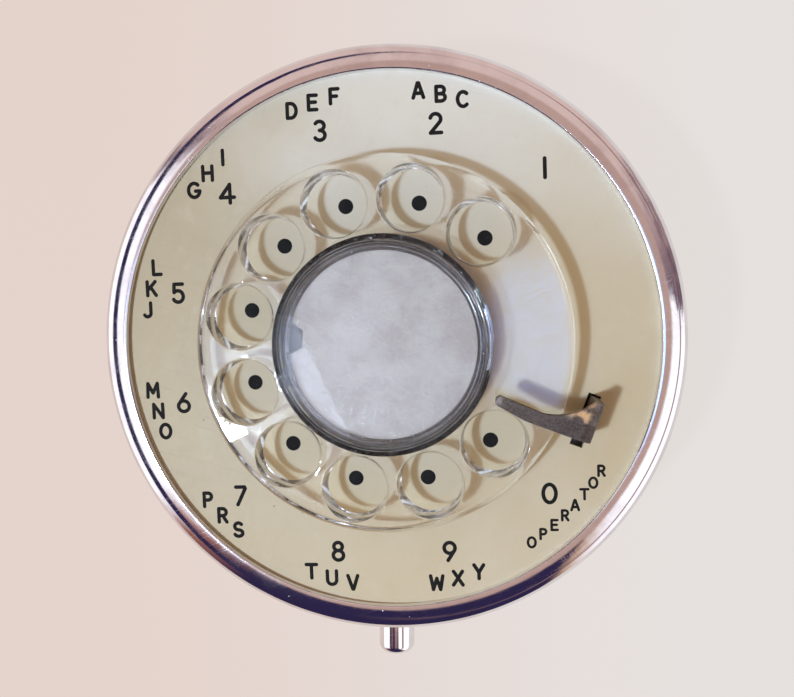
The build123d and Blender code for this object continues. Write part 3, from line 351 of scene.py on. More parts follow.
dial_face = (0, 0, PLATE_TOP * MM)
lamp("key_lamp", KEY_AT, dial_face, 0.045, 0.045, 2.2, KEY_COLOUR)
soft_panel = lamp("soft_panel", KEY_AT * 0.98, dial_face, 0.16, 0.20, 0.55, (0.66, 0.78, 1.0))
soft_panel.visible_glossy = False
print("key lamp", round((KEY_AT - Vector(dial_face)).length, 3), "m from the dial")

# %% The floor
floor_shape = bmesh.new()
bmesh.ops.create_grid(floor_shape, x_segments=1, y_segments=1, size=3.0)
floor_mesh = bpy.data.meshes.new("floor")
floor_shape.to_mesh(floor_mesh)
floor_shape.free()
floor = bpy.data.objects.new("floor", floor_mesh)
bpy.context.scene.collection.objects.link(floor)

FLOOR_COLOUR = (0.79, 0.665, 0.61)
paper = Finish("floor_paper", Roughness=0.9)
rightward = paper.axis("X").step(-0.09, 0.09)
paper.set("Emission Color", paper.mix(rightward, FLOOR_COLOUR, (0.815, 0.78, 0.765)))
paper.set("Emission Strength", 0.90)
paper.set("Specular IOR Level", 0.0)
floor_mesh.materials.append(paper.material)
paper.set("Base Color", tuple(0.10 * part for part in FLOOR_COLOUR))
print("floor laid")

# %% [markdown]
# ## Metals
#
# Plated metal is never a perfect mirror. It has faint waves from rolling and polishing, a film of
# grease that dulls it in patches, and hair scratches. Each of these is one term of a sum.

# %% Chrome plate
chrome = Finish("chrome_plate", Metallic=1.0)
film = chrome.noise(9.0, 5.0, 0.6)
hairs = chrome.scratches(20, 9, 0.05, 0.04).larger(chrome.scratches(-55, 7, 0.05, 0.03, 0.3))
pits = chrome.specks(2.6, 0.07)
chrome.set("Base Color", chrome.mix(film.step(0.4, 0.75), (0.83, 0.815, 0.83), (0.70, 0.66, 0.68)))
chrome.set("Roughness", 0.05 + film.step(0.35, 0.8) * 0.10 + hairs * 0.10 + pits * 0.3)
chrome.bump(chrome.noise(5.0, 2.0) + hairs * -0.04 - pits * 0.2, 0.035, 0.55)
chrome.wear("case_cup", "bezel_ring", "plunger", "plunger_bushing")
print("chrome on the case, bezel and plunger")

# %% Nickel screws, zinc plate, brass, steel
def plain_metal(name, colour, stain, rough, grain, nodes):
    """A bare or plated metal with a mottled stain, fine scratches and grain."""
    metal = Finish(name, Metallic=1.0)
    patches = metal.noise(grain * 6, 5.0, 0.6)
    fine = metal.noise(grain * 0.4, 3.0, 0.6)
    hair = metal.scratches(35, grain * 5, 0.04, 0.05)
    metal.set("Base Color", metal.mix(patches.step(0.42, 0.72), colour, stain))
    metal.set("Roughness", rough + patches * 0.18 + fine * 0.10 - hair * 0.1)
    metal.bump(fine * 0.6 + hair * 0.5 + patches * 0.4, 0.02)
    metal.wear(*nodes)
    return metal


nickel = plain_metal(
    "nickel_plate", (0.66, 0.63, 0.58), (0.46, 0.40, 0.33), 0.20, 1.0,
    ["back_cover_screws", "bezel_screws", "frame_screws", "plate_screws", "pillar_screws",
     "terminal_screws", "hub_screws", "bracket_screws", "contact_screws", "bushing_nut"])
plain_metal(
    "zinc_plate", (0.60, 0.60, 0.57), (0.46, 0.45, 0.40), 0.32, 2.0,
    ["mounting_ring", "frame_plate", "bridge_plate", "pillars", "plate_posts",
     "governor_bracket", "plunger_guide"])
plain_metal(
    "old_brass", (0.72, 0.53, 0.25), (0.42, 0.28, 0.12), 0.24, 1.5,
    ["shaft_bush", "drive_gear", "ratchet_wheel", "arbor_pinion", "worm_wheel", "brake_drum",
     "fly_weight_a", "fly_weight_b", "weight_carrier"])
plain_metal(
    "ground_steel", (0.52, 0.51, 0.50), (0.34, 0.32, 0.30), 0.26, 1.2,
    ["main_shaft", "shaft_clip", "pulse_arbor", "governor_shaft", "pawl_stud", "pawl"])
plain_metal(
    "nickel_silver_leaf", (0.70, 0.66, 0.56), (0.52, 0.46, 0.36), 0.22, 1.2,
    ["pulse_moving_blade", "pulse_fixed_blade", "off_normal_moving_blade",
     "off_normal_fixed_blade", "line_moving_blade", "line_fixed_blade"])
wire = plain_metal(
    "music_wire", (0.36, 0.36, 0.37), (0.24, 0.21, 0.19), 0.25, 0.8,
    ["main_spring", "plunger_spring"])
print("six working metals")

# %% [markdown]
# The finger stop is pressed from strip and handled with every call. Its plating has gone grey-brown
# and grainy, the edges are rubbed pale, and at the bend the plating is worn through to brass. The
# worn places are found from where a point lies: along the stop, and across it.

# %% Worn finger stop
STOP_ANGLE = math.radians(-19.5)
worn_stop = Finish("worn_stop_plating", Metallic=1.0)
lengthwise = Vector((math.cos(STOP_ANGLE), math.sin(STOP_ANGLE))) / MM
along = worn_stop.axis("X") * lengthwise.x + worn_stop.axis("Y") * lengthwise.y
sideways = worn_stop.axis("Y") * lengthwise.x - worn_stop.axis("X") * lengthwise.y
grain = worn_stop.noise(0.35, 5.0, 0.7)
patch = worn_stop.noise(2.2, 5.0, 0.65)
at_bend = along.step(36.5, 39.5) * (1 - along.step(40.6, 42.0))
at_bend = at_bend * (sideways + patch * 2.0).step(0.2, 1.6)
rubbed = (sideways + patch * 1.2).step(-0.3, 1.0) * along.step(26.0, 36.0) * 0.6
rubbed = rubbed.larger((1 - along.step(24.2, 26.5)) * patch.step(0.35, 0.6) * 0.8)
base = worn_stop.mix(grain.step(0.35, 0.7), (0.120, 0.098, 0.086), (0.055, 0.044, 0.038))
base = worn_stop.mix(rubbed * patch.step(0.35, 0.65) * 0.7, base, (0.36, 0.32, 0.29))
base = worn_stop.mix(at_bend * patch.step(0.38, 0.60), base, (0.70, 0.46, 0.22))
worn_stop.set("Base Color", base)
worn_stop.set("Roughness", 0.34 + grain * 0.22 - at_bend * 0.12)
worn_stop.bump(grain + patch * 0.5 + worn_stop.scratches(-19.5, 5, 0.05, 0.06) * 0.6, 0.035)
worn_stop.wear("finger_stop")
print("finger stop worn at", round(math.degrees(STOP_ANGLE), 1), "degrees")

# %% [markdown]
# The disc under the cap is rolled aluminium. Years of wiping before the cap was fitted left fine
# scratches in every direction, and the metal has gone faintly pink in patches.

# %% Scratched disc
disc = Finish("scratched_disc", Metallic=0.35)
stain = disc.noise(6.5, 5.0, 0.6)
freckle = disc.noise(1.1, 3.0, 0.7)
lines = disc.scratches(12, 8, 0.045, 0.10)
for turn, shift in ((48, 0.2), (83, 0.5), (121, 0.9), (156, 1.4), (-28, 1.9)):
    lines = lines.larger(disc.scratches(turn, 7, 0.045, 0.08, shift))
base = disc.mix(stain.step(0.38, 0.68), (0.385, 0.37, 0.365), (0.33, 0.305, 0.30))
base = disc.mix(lines * 0.6, base, (0.56, 0.54, 0.51))
base = disc.mix(disc.scratches(92, 9, 0.06, 0.07, 2.7) * 0.5, base, (0.24, 0.215, 0.205))
base = disc.mix(freckle.step(0.64, 0.74) * 0.5, base, (0.20, 0.165, 0.15))
disc.set("Base Color", base)
disc.set("Roughness", 0.50 + stain * 0.15 - lines * 0.12)
disc.bump(lines * -0.6 + freckle * 0.3, 0.012)
disc.wear("hub_disc")
print("disc scratched in six directions")

# %% [markdown]
# ## Enamel, paint, rubber and moulded parts

# %% Ivory enamel
enamel = Finish("ivory_enamel", IOR=1.5)
enamel.set("Specular IOR Level", 0.35)
age_and_shade_noise = enamel.noise(26.0, 4.0, 0.5)
mottle = enamel.noise(4.0, 5.0, 0.6)
# Painted light and shade: the plate is painted lighter towards the top and darker brown over its
# left half; the blotchy noise only makes their edges ragged.
right_of = enamel.axis("X") * (1 / MM) + (age_and_shade_noise - 0.5) * 40
above = enamel.axis("Y") * (1 / MM) + (age_and_shade_noise - 0.5) * 40
base = enamel.mix(age_and_shade_noise.step(0.30, 0.70), (0.71, 0.635, 0.47), (0.67, 0.575, 0.39))
base = enamel.mix(above.step(5, 50), base, (0.82, 0.81, 0.74))
base = enamel.mix(0.85 * (1 - right_of.step(-60, 5)), base, (0.47, 0.395, 0.25))
base = enamel.mix(mottle.step(0.5, 0.75) * 0.22, base, (0.74, 0.69, 0.56))
specks = enamel.specks(4.6, 0.045) * enamel.noise(9.0, 2.0).step(0.5, 0.55)
fine = enamel.scratches(70, 9, 0.05, 0.01).larger(enamel.scratches(-15, 11, 0.05, 0.005, 0.7))
base = enamel.mix(specks * 0.85, base, (0.20, 0.12, 0.06))
base = enamel.mix(fine * 0.35, base, (0.45, 0.38, 0.26))
enamel.set("Base Color", base)
enamel.set("Roughness", 0.36 + mottle * 0.16 + fine * 0.15)
enamel.bump(mottle * 0.5 - fine * 0.4 - specks * 0.6, 0.02)
enamel.wear("number_plate")
print("number plate enamelled")

# %% Paint, rubber, phenolic
def dull_finish(name, colour, faded, rough, grain, depth, nodes):
    """Paint, rubber or moulding: a base colour, faded patches, and a fine texture."""
    made = Finish(name)
    patches = made.noise(grain * 8, 5.0, 0.6)
    texture = made.noise(grain, 4.0, 0.65)
    dust = made.specks(grain * 4, 0.10)
    shade = made.mix(patches.step(0.35, 0.75), colour, faded)
    made.set("Base Color", made.mix(dust * 0.4, shade, tuple(0.5 * part + 0.15 for part in faded)))
    made.set("Roughness", rough + texture * 0.15)
    made.bump(texture + patches * 0.5, depth)
    made.wear(*nodes)
    return made


dark_paint = dull_finish(
    "dark_crackle_paint", (0.035, 0.035, 0.040), (0.075, 0.070, 0.068), 0.42, 0.7, 0.06,
    ["back_cover", "clamp_plate", "hub_carrier"])
dull_finish(
    "black_rubber", (0.020, 0.020, 0.021), (0.060, 0.057, 0.054), 0.62, 0.5, 0.05,
    ["foot_ring", "cord_grommet"])
dull_finish(
    "brown_phenolic", (0.13, 0.055, 0.025), (0.20, 0.10, 0.05), 0.35, 0.6, 0.03,
    ["off_normal_cam", "pulse_cam", "pulse_contact_block", "off_normal_contact_block",
     "line_contact_block", "terminal_board"])
ink = dull_finish(
    "printing_ink", (0.008, 0.008, 0.009), (0.018, 0.017, 0.016), 0.62, 0.25, 0.01, [])
ink.set("Specular IOR Level", 0.15)
print("paint, rubber, phenolic and ink mixed")

# %% [markdown]
# ## Clear plastic
#
# Light bends as it enters the plastic, which a transmitting shader does well for what the camera
# sees. Light that goes on to the plate is another matter: a renderer finds it hard to follow a lamp
# through two curved walls. So for shadow rays, and for the dull surfaces' own rays, the plastic is
# a tinted window: almost clear on its flat faces, and brown where light has to run along a wall.

# %% Clear mouldings
def clear_moulding(name, tint, wall_shade_tint, flat_pass, wall_pass, rough, nodes):
    """A clear plastic with fine scratches, and a window for light that goes on through it."""
    clear = Finish(name, IOR=1.49)
    clear.set("Transmission Weight", 1.0)
    cloud = clear.noise(7.0, 4.0, 0.6)
    hairs = clear.scratches(15, 6, 0.04, 0.03).larger(clear.scratches(75, 5, 0.04, 0.03, 0.4))
    hairs = hairs.larger(clear.scratches(-40, 7, 0.04, 0.02, 0.8))
    facing = clear.node("ShaderNodeNewGeometry", result="Normal")
    upright = clear.node("ShaderNodeSeparateXYZ", None, {0: facing}, "Z").size()
    flat = upright.step(0.55, 0.95)
    wall = 1 - upright.step(0.10, 0.60)
    lines = clear.noise(1.6, 3.0, 0.6)
    # Painted shade: the walls' colour is a darker tint in streaks, standing for the dark crescents
    # that refraction throws in thick plastic.
    clear.set("Base Color", clear.mix(wall * (0.45 + 0.55 * lines.step(0.4, 0.6)), tint, wall_shade_tint))
    drawn = wall * (0.04 + lines * 0.10)
    clear.set("Roughness", rough + cloud.step(0.5, 0.9) * 0.03 + hairs * 0.18 + drawn)
    clear.bump(hairs * -0.5 + cloud * 0.6 + wall * lines * 2.0, 0.012)
    window_flat = clear.node("ShaderNodeBsdfTransparent", None, {0: flat_pass})
    window_wall = clear.node("ShaderNodeBsdfTransparent", None, {0: wall_pass})
    window = clear.node("ShaderNodeMixShader", None, {0: flat, 1: window_wall, 2: window_flat})
    shadow = clear.node("ShaderNodeLightPath", result="Is Shadow Ray")
    dull = Field(clear, shadow.socket.node.outputs["Is Diffuse Ray"])
    body = Field(clear, clear.shader.outputs[0])
    both = clear.node("ShaderNodeMixShader", None, {0: shadow.larger(dull), 1: body, 2: window})
    clear.plug(clear.tree.nodes["Material Output"].inputs["Surface"], both)
    clear.wear(*nodes)
    return clear


# The second colour of each moulding is the painted shade on its walls.
wheel_plastic = clear_moulding(
    "clear_wheel_plastic", (0.985, 0.985, 0.975), (0.52, 0.47, 0.46),
    (0.975, 0.965, 0.94), (0.34, 0.26, 0.17), 0.012, ["finger_wheel"])
cap_plastic = clear_moulding(
    "clear_cap_plastic", (0.97, 0.97, 0.98), (0.72, 0.70, 0.71),
    (0.96, 0.95, 0.94), (0.62, 0.55, 0.48), 0.015, ["centre_cap"])
print("clear plastic for the wheel and its cap")

# %% [markdown]
# Thin dark rings of painted shade lie in the grooves between the cap's ridges, standing for the
# dark lines that refraction draws along each ridge. A ring is a distance from the axis, so it is
# found by Pythagoras and a triangle wave as wide as a ridge.

# %% Painted shade in the grooves
CAP_R = corners("centre_cap")[1].x
RIDGES = 5
RIDGE_WIDTH = 0.52
cap_x = cap_plastic.axis("X") * (1 / MM)
cap_y = cap_plastic.axis("Y") * (1 / MM)
ring = ((cap_x * cap_x + cap_y * cap_y).power(0.5) - (CAP_R - RIDGES * RIDGE_WIDTH)) / RIDGE_WIDTH
groove = (1 - ring.math("PINGPONG", ring, 0.5).step(0.06, 0.20)) * ring.step(-0.2, 0.0)
cap_colour_unshaded = Field(cap_plastic, cap_plastic.shader.inputs["Base Color"].links[0].from_socket)
# Painted shade: dark rings whose strength varies along each groove.
groove_painted_shade = groove * (0.55 + 0.45 * cap_plastic.noise(3.0, 3.0, 0.6).step(0.35, 0.6))
cap_plastic.set("Base Color", cap_plastic.mix(groove_painted_shade, cap_colour_unshaded, (0.10, 0.09, 0.10)))
print("grime in", RIDGES, "grooves")

# %% [markdown]
# ## Turning a piece on the lathe
#
# Most of these pieces are round, so they are drawn as a half outline and spun. An Outline starts at
# a point and grows by straight lines and arcs. An arc is itself a spin: one vertex turned about its
# centre leaves a chain of edges behind it.

# %% An outline and a spin
class Outline:
    """A half section, as radius and height in millimetres, that grows point by point."""

    def __init__(self, radius, height):
        self.shape = bmesh.new()
        self.first = self.shape.verts.new((radius, 0, height))
        self.tip = self.first

    def line(self, radius, height):
        vert = self.shape.verts.new((radius, 0, height))
        self.shape.edges.new((self.tip, vert))
        self.tip = vert
        return self

    def arc(self, radius, height, degrees, steps=6):
        """Turns about this centre; positive degrees turn from outwards to upwards."""
        made = bmesh.ops.spin(
            self.shape, geom=[self.tip], cent=(radius, 0, height), axis=(0, -1, 0),
            angle=math.radians(degrees), steps=steps)
        self.tip = next(part for part in made["geom_last"] if isinstance(part, bmesh.types.BMVert))
        return self

    def close(self):
        self.shape.edges.new((self.tip, self.first))
        return self

    def spin(self, steps=160, centre=(0, 0, 0)):
        """Spins the outline about the vertical through the centre."""
        bmesh.ops.spin(
            self.shape, geom=self.shape.verts[:] + self.shape.edges[:], cent=centre, axis=(0, 0, 1),
            angle=2 * math.pi, steps=steps, use_merge=True)
        bmesh.ops.remove_doubles(self.shape, verts=self.shape.verts, dist=0.0005)
        return self.shape


def finish_piece(name, shape, body, finish, nodes=(), sharp=35):
    """Scales a shape from millimetres and makes it a piece that rides on a body."""
    bmesh.ops.recalc_face_normals(shape, faces=shape.faces)
    bmesh.ops.scale(shape, verts=shape.verts, vec=(MM, MM, MM))
    for face in shape.faces:
        face.smooth = True
    mesh = bpy.data.meshes.new(name)
    shape.to_mesh(mesh)
    shape.free()
    mesh.set_sharp_from_angle(angle=math.radians(sharp))
    mesh.materials.append(finish.material)
    piece = bpy.data.objects.new(name, mesh)
    bpy.context.scene.collection.objects.link(piece)
    even = piece.modifiers.new("even_shading", "WEIGHTED_NORMAL")
    even.keep_sharp = True
    even.weight = 60
    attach(piece, body)
    if nodes:
        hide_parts(*nodes)
    print(name, len(mesh.polygons), "faces, on", body)
    return piece


# %% [markdown]
# ## The rolled bezel
#
# The bezel is sheet metal rolled over a former: a gentle crown from its lip on the number plate, a
# round shoulder, and a skirt down the case. Its section is arcs that run into each other, one set
# for each side of the sheet. Three small holes in the skirt let the grub screws through, and a
# Boolean cuts them.

# %% Spin the bezel
def wall_hole(radius, start, stop, angle, height):
    """A round cutter that lies along a radius, between two distances from the axis."""
    shape = bmesh.new()
    turn = Matrix.Rotation(math.radians(angle), 4, "Z") @ Matrix.Rotation(math.pi / 2, 4, "Y")
    place = Matrix.Translation(turn @ Vector((0, 0, (start + stop) / 2)) + Vector((0, 0, height)))
    bmesh.ops.create_cone(
        shape, cap_ends=True, segments=40, radius1=radius, radius2=radius,
        depth=stop - start, matrix=place @ turn)
    return shape


def cut(piece, cutters):
    """Subtracts cutters, each a bmesh in millimetres, from a piece, for good."""
    for shape in cutters:
        bmesh.ops.scale(shape, verts=shape.verts, vec=(MM, MM, MM))
        mesh = bpy.data.meshes.new("cutter")
        shape.to_mesh(mesh)
        shape.free()
        cutter = bpy.data.objects.new("cutter", mesh)
        bpy.context.scene.collection.objects.link(cutter)
        boolean = piece.modifiers.new("cut", "BOOLEAN")
        boolean.operation = "DIFFERENCE"
        boolean.solver = "EXACT"
        boolean.object = cutter
        piece.modifiers.move(len(piece.modifiers) - 1, 0)
        view_layer = bpy.context.view_layer
        view_layer.objects.active = piece
        bpy.ops.object.modifier_apply(modifier="cut")
        bpy.data.objects.remove(cutter)
        bpy.data.meshes.remove(mesh)


bezel_low, bezel_high = corners("bezel_ring")
BEAD_R = 2.9
CROWN_R = 12.0
CROWN_END = math.radians(78)
SHEET = 0.9
LIP_R = 54.1
LIP_ROUND = 0.4
GAP = 0.1
BEAD_DROP = 1.3
FOOT_ROUND = 0.2
bead_at = Vector((bezel_high.x - BEAD_R, PLATE_TOP - BEAD_DROP))
crown_at = bead_at - (CROWN_R - BEAD_R) * Vector((math.cos(CROWN_END), math.sin(CROWN_END)))
GRUB_HEIGHT = corners("bezel_screws")[1].z - 1.2
GRUB_HOLE_R = 1.22
CASE_R = corners("case_cup")[1].x
skirt_in = CASE_R + GAP
skirt_out = skirt_in + SHEET
skirt_turn = math.acos((skirt_out - bead_at.x) / BEAD_R)
skirt_turn_in = math.acos((skirt_in - bead_at.x) / (BEAD_R - SHEET))


def meets_crown(radius, x):
    """Height at which a circle about the crown's centre passes this distance from the axis."""
    return crown_at.y + math.sqrt(radius ** 2 - (x - crown_at.x) ** 2)


round_at = Vector((LIP_R + LIP_ROUND, meets_crown(CROWN_R - LIP_ROUND, LIP_R + LIP_ROUND)))
lip_turn = math.atan2(round_at.y - crown_at.y, round_at.x - crown_at.x)
inner_lip = Vector((LIP_R + SHEET, meets_crown(CROWN_R - SHEET, LIP_R + SHEET)))
inner_turn = math.atan2(inner_lip.y - crown_at.y, inner_lip.x - crown_at.x)

bezel = Outline(skirt_in, bezel_low.z).line(skirt_out - FOOT_ROUND, bezel_low.z)
bezel.arc(skirt_out - FOOT_ROUND, bezel_low.z + FOOT_ROUND, 90, 3)
bezel.line(skirt_out, bead_at.y - BEAD_R * math.sin(skirt_turn))
bezel.arc(*bead_at, math.degrees(CROWN_END + skirt_turn), 28)
bezel.arc(*crown_at, math.degrees(lip_turn - CROWN_END), 8)
bezel.arc(*round_at, 180 - math.degrees(lip_turn), 5)
bezel.line(LIP_R, PLATE_TOP).line(LIP_R + SHEET, PLATE_TOP).line(*inner_lip)
bezel.arc(*crown_at, -math.degrees(inner_turn - CROWN_END), 6)
bezel.arc(*bead_at, -math.degrees(CROWN_END + skirt_turn_in), 18)
bezel.close()
bezel_ring = finish_piece(
    "chrome_bezel", bezel.spin(256), "case", chrome, ["bezel_ring"])
cut(bezel_ring, [wall_hole(GRUB_HOLE_R, CASE_R - 1, CASE_R + 3, angle, GRUB_HEIGHT)
                 for angle in (0, 120, 240)])
print("bezel shoulder", BEAD_R, "mm in radius, with three grub screw holes")

# %% [markdown]
# ## The clear finger wheel
#
# The wheel is a thick moulding, so its look lies in its edges: where a wall meets a face there is a
# small round that catches the lamp. One hole's wall is spun about its own axis with rounded mouths,
# and copied round the wheel. The rim and the well are spun too. What is left open are the two flat
# faces, and a triangle fill closes each between all its loops at once.

# %% Mould the finger wheel
wheel_low, wheel_high = corners("finger_wheel")
WHEEL_R = wheel_high.x
HOLES = [opening for opening in frame["record"]["physics"]["openings"]
         if opening["name"].startswith("finger_hole")]
hole_low, hole_high = (Vector(corner) / MM for corner in HOLES[0]["box_m"])
HOLE_AT = ((hole_low + hole_high) / 2).to_2d()
HOLE_R = 6.5
HOLE_TAPER = 0.45
MOUTH = 0.28
RIM_ROUND = 1.0
WELL_R = 20.0
WEB_TOP = corners("clamp_plate")[0].z
WEB_HOLE_R = 11.0
HOLE_PITCH = 30


def wheel_hole():
    """The wall of one finger hole, with rounded mouths, spun about its own axis."""
    ring = HOLE_AT.length
    wall = Outline(ring + HOLE_R + MOUTH, wheel_high.z)
    wall.arc(ring + HOLE_R + MOUTH, wheel_high.z - MOUTH, 90, 5)
    wall.line(ring + HOLE_R - HOLE_TAPER, wheel_low.z + MOUTH)
    wall.arc(ring + HOLE_R - HOLE_TAPER + MOUTH, wheel_low.z + MOUTH, 90, 5)
    return wall.spin(96, (ring, 0, 0))


def absorb(target, part):
    """Adds one shape to another."""
    mesh = bpy.data.meshes.new("part")
    part.to_mesh(mesh)
    part.free()
    target.from_mesh(mesh)
    bpy.data.meshes.remove(mesh)


def close_flat(shape, height, up):
    """Fills the flat face that lies between all open loops at one height."""
    rim = [edge for edge in shape.edges
           if edge.is_boundary and all(abs(vert.co.z - height) < 0.002 for vert in edge.verts)]
    bmesh.ops.triangle_fill(
        shape, edges=rim, use_beauty=True, use_dissolve=False, normal=(0, 0, up))


wheel = bmesh.new()
absorb(wheel, wheel_hole())
first_turn = math.atan2(HOLE_AT.y, HOLE_AT.x)
bmesh.ops.rotate(wheel, verts=wheel.verts, matrix=Matrix.Rotation(first_turn, 3, "Z"))
one_hole = wheel.verts[:] + wheel.edges[:] + wheel.faces[:]
for step in range(1, len(HOLES)):
    copy = bmesh.ops.duplicate(wheel, geom=one_hole)["geom"]
    copied = [part for part in copy if isinstance(part, bmesh.types.BMVert)]
    around_wheel = Matrix.Rotation(math.radians(HOLE_PITCH * step), 3, "Z")
    bmesh.ops.rotate(wheel, verts=copied, matrix=around_wheel)

rim = Outline(WHEEL_R - RIM_ROUND, wheel_low.z)
rim.arc(WHEEL_R - RIM_ROUND, wheel_low.z + RIM_ROUND, 90, 8)
rim.line(WHEEL_R, wheel_high.z - RIM_ROUND)
rim.arc(WHEEL_R - RIM_ROUND, wheel_high.z - RIM_ROUND, 90, 8)
absorb(wheel, rim.spin(192))
well = Outline(WELL_R + MOUTH, wheel_high.z).arc(WELL_R + MOUTH, wheel_high.z - MOUTH, 90, 4)
well.line(WELL_R, WEB_TOP).line(WEB_HOLE_R, WEB_TOP).line(WEB_HOLE_R, wheel_low.z)
absorb(wheel, well.spin(192))
close_flat(wheel, wheel_high.z, 1)
close_flat(wheel, wheel_low.z, -1)
bmesh.ops.remove_doubles(wheel, verts=wheel.verts, dist=0.0005)
open_edges = sum(edge.is_boundary for edge in wheel.edges)
finish_piece("clear_finger_wheel", wheel, "dial", wheel_plastic, ["finger_wheel"])
print("wheel has", len(HOLES), "holes and", open_edges, "open edges")

# %% [markdown]
# ## The ridged cap
#
# The cap is spun in one: a thin window, a stair of rounded ridges down to its rim, and a spigot
# that drops into the wheel's well.

# %% Spin the cap
cap_low, cap_high = corners("centre_cap")
RIDGE_RISE = 0.3
CAP_WALL = 1.0
SPIGOT_OUT = WELL_R - 0.15
SPIGOT_IN = 18.8
cap = Outline(0, cap_high.z)
ridge_top = Vector((CAP_R - RIDGES * RIDGE_WIDTH, cap_high.z))
cap.line(ridge_top.x, ridge_top.y)
for step in range(RIDGES):
    # each ridge swells out a little past its step, and leaves a groove under it
    cap.line(ridge_top.x + 0.12, ridge_top.y - 0.10)
    cap.arc(ridge_top.x + 0.24, ridge_top.y - 0.30, -90, 4)
    ridge_top += Vector((RIDGE_WIDTH, -RIDGE_RISE))
    cap.line(ridge_top.x, ridge_top.y)
cap.line(CAP_R, wheel_high.z + 0.12).line(CAP_R - 0.12, wheel_high.z)
cap.line(SPIGOT_OUT, wheel_high.z).line(SPIGOT_OUT, cap_low.z).line(SPIGOT_IN, cap_low.z)
cap.line(SPIGOT_IN, cap_high.z - CAP_WALL).line(0, cap_high.z - CAP_WALL)
finish_piece("clear_ridged_cap", cap.spin(192), "dial", cap_plastic, ["centre_cap"])

# %% [markdown]
# ## Printed marks
#
# The numbers, letters and dots are thick ink. Each stroke of a character is a bead with round ends,
# pressed flat, so corners come out round as they do when ink is pressed through a stencil. A
# character is a list of strokes in a box one unit high: a pair is a point, and six numbers are an
# arc, as its centre, its two radii, and the angles where it starts and ends.

# %% The alphabet of the plate
BOWL = (0.02, 0.74, 0.26, 0.26, 90, -90)
CHARACTERS = {
    "A": [[(-0.36, 0), (-0.04, 1), (0.04, 1), (0.36, 0)], [(-0.24, 0.30), (0.24, 0.30)]],
    "B": [[(0.02, 0.50), (-0.30, 0.50)],
          [(-0.30, 0), (-0.30, 1), (0.0, 1), (0.0, 0.75, 0.27, 0.25, 90, -90)],
          [(-0.30, 0), (0.02, 0), (0.02, 0.25, 0.30, 0.25, -90, 90)]],
    "C": [[(0.04, 0.5, 0.38, 0.5, 48, 312)]],
    "D": [[(-0.32, 0), (-0.32, 1), (-0.06, 1), (-0.06, 0.5, 0.38, 0.5, 90, -90), (-0.32, 0)]],
    "E": [[(0.30, 1), (-0.28, 1), (-0.28, 0), (0.30, 0)], [(-0.28, 0.52), (0.22, 0.52)]],
    "F": [[(0.32, 1), (-0.24, 1), (-0.24, 0)], [(-0.24, 0.50), (0.20, 0.50)]],
    "G": [[(0.02, 0.5, 0.42, 0.5, 48, 345), (0.43, 0.44), (0.12, 0.44)]],
    "H": [[(-0.34, 0), (-0.34, 1)], [(0.34, 0), (0.34, 1)], [(-0.34, 0.52), (0.34, 0.52)]],
    "I": [[(0, 0), (0, 1)]],
    "J": [[(0.20, 1), (0.20, 0.26), (-0.06, 0.26, 0.26, 0.26, 0, -150)]],
    "K": [[(-0.30, 0), (-0.30, 1)], [(0.30, 1), (-0.30, 0.36)], [(-0.06, 0.60), (0.34, 0)]],
    "L": [[(-0.24, 1), (-0.24, 0), (0.32, 0)]],
    "M": [[(-0.40, 0), (-0.36, 1), (0, 0.30), (0.36, 1), (0.40, 0)]],
    "N": [[(-0.34, 0), (-0.34, 1), (0.34, 0), (0.34, 1)]],
    "O": [[(0, 0.5, 0.38, 0.5, 0, 360)]],
    "P": [[(-0.28, 0), (-0.28, 1), (0.02, 1), BOWL, (-0.28, 0.48)]],
    "R": [[(-0.28, 0), (-0.28, 1), (0.02, 1), BOWL, (-0.28, 0.48)], [(0.0, 0.48), (0.30, 0)]],
    "S": [[(0.0, 0.74, 0.28, 0.26, 35, 270), (0.0, 0.24, 0.31, 0.24, 90, -155)]],
    "T": [[(-0.38, 1), (0.38, 1)], [(0, 1), (0, 0)]],
    "U": [[(-0.34, 1), (-0.34, 0.34), (0, 0.34, 0.34, 0.34, 180, 360), (0.34, 1)]],
    "V": [[(-0.36, 1), (-0.03, 0), (0.03, 0), (0.36, 1)]],
    "W": [[(-0.44, 1), (-0.26, 0), (0, 0.82), (0.26, 0), (0.44, 1)]],
    "X": [[(-0.32, 1), (0.34, 0)], [(0.32, 1), (-0.34, 0)]],
    "Y": [[(-0.34, 1), (0, 0.46), (0.34, 1)], [(0, 0.46), (0, 0)]],
    "0": [[(0, 0.5, 0.34, 0.5, 0, 360)]],
    "1": [[(0, 0), (0, 1)]],
    "2": [[(0, 0.72, 0.28, 0.28, 165, -28), (-0.28, 0), (0.30, 0)]],
    "3": [[(-0.02, 0.76, 0.26, 0.24, 145, -90), (-0.02, 0.26, 0.29, 0.26, 90, -150)]],
    "4": [[(0.16, 0), (0.16, 1), (-0.38, 0.30), (0.40, 0.30)]],
    "5": [[(0.26, 1), (-0.22, 1), (-0.24, 0.56), (-0.02, 0.32, 0.30, 0.32, 135, -150)]],
    "6": [[(0, 0.30, 0.31, 0.30, 0, 360)], [(0.14, 1), (-0.25, 0.47)]],
    "7": [[(-0.26, 1), (0.24, 1), (0.28, 0.92), (-0.18, 0)]],
    "8": [[(0, 0.77, 0.24, 0.23, 0, 360)], [(0, 0.27, 0.29, 0.27, 0, 360)]],
    "9": [[(0, 0.70, 0.30, 0.30, 0, 360)], [(0.26, 0.55), (-0.10, 0)]],
}
print(len(CHARACTERS), "characters drawn")

# %% Strokes of ink
INK_DOME = 0.035
LEAN = math.radians(2.0)
ARC_STEP = 15
SAME_POINT = 1e-4
CORNER = math.cos(math.radians(25))


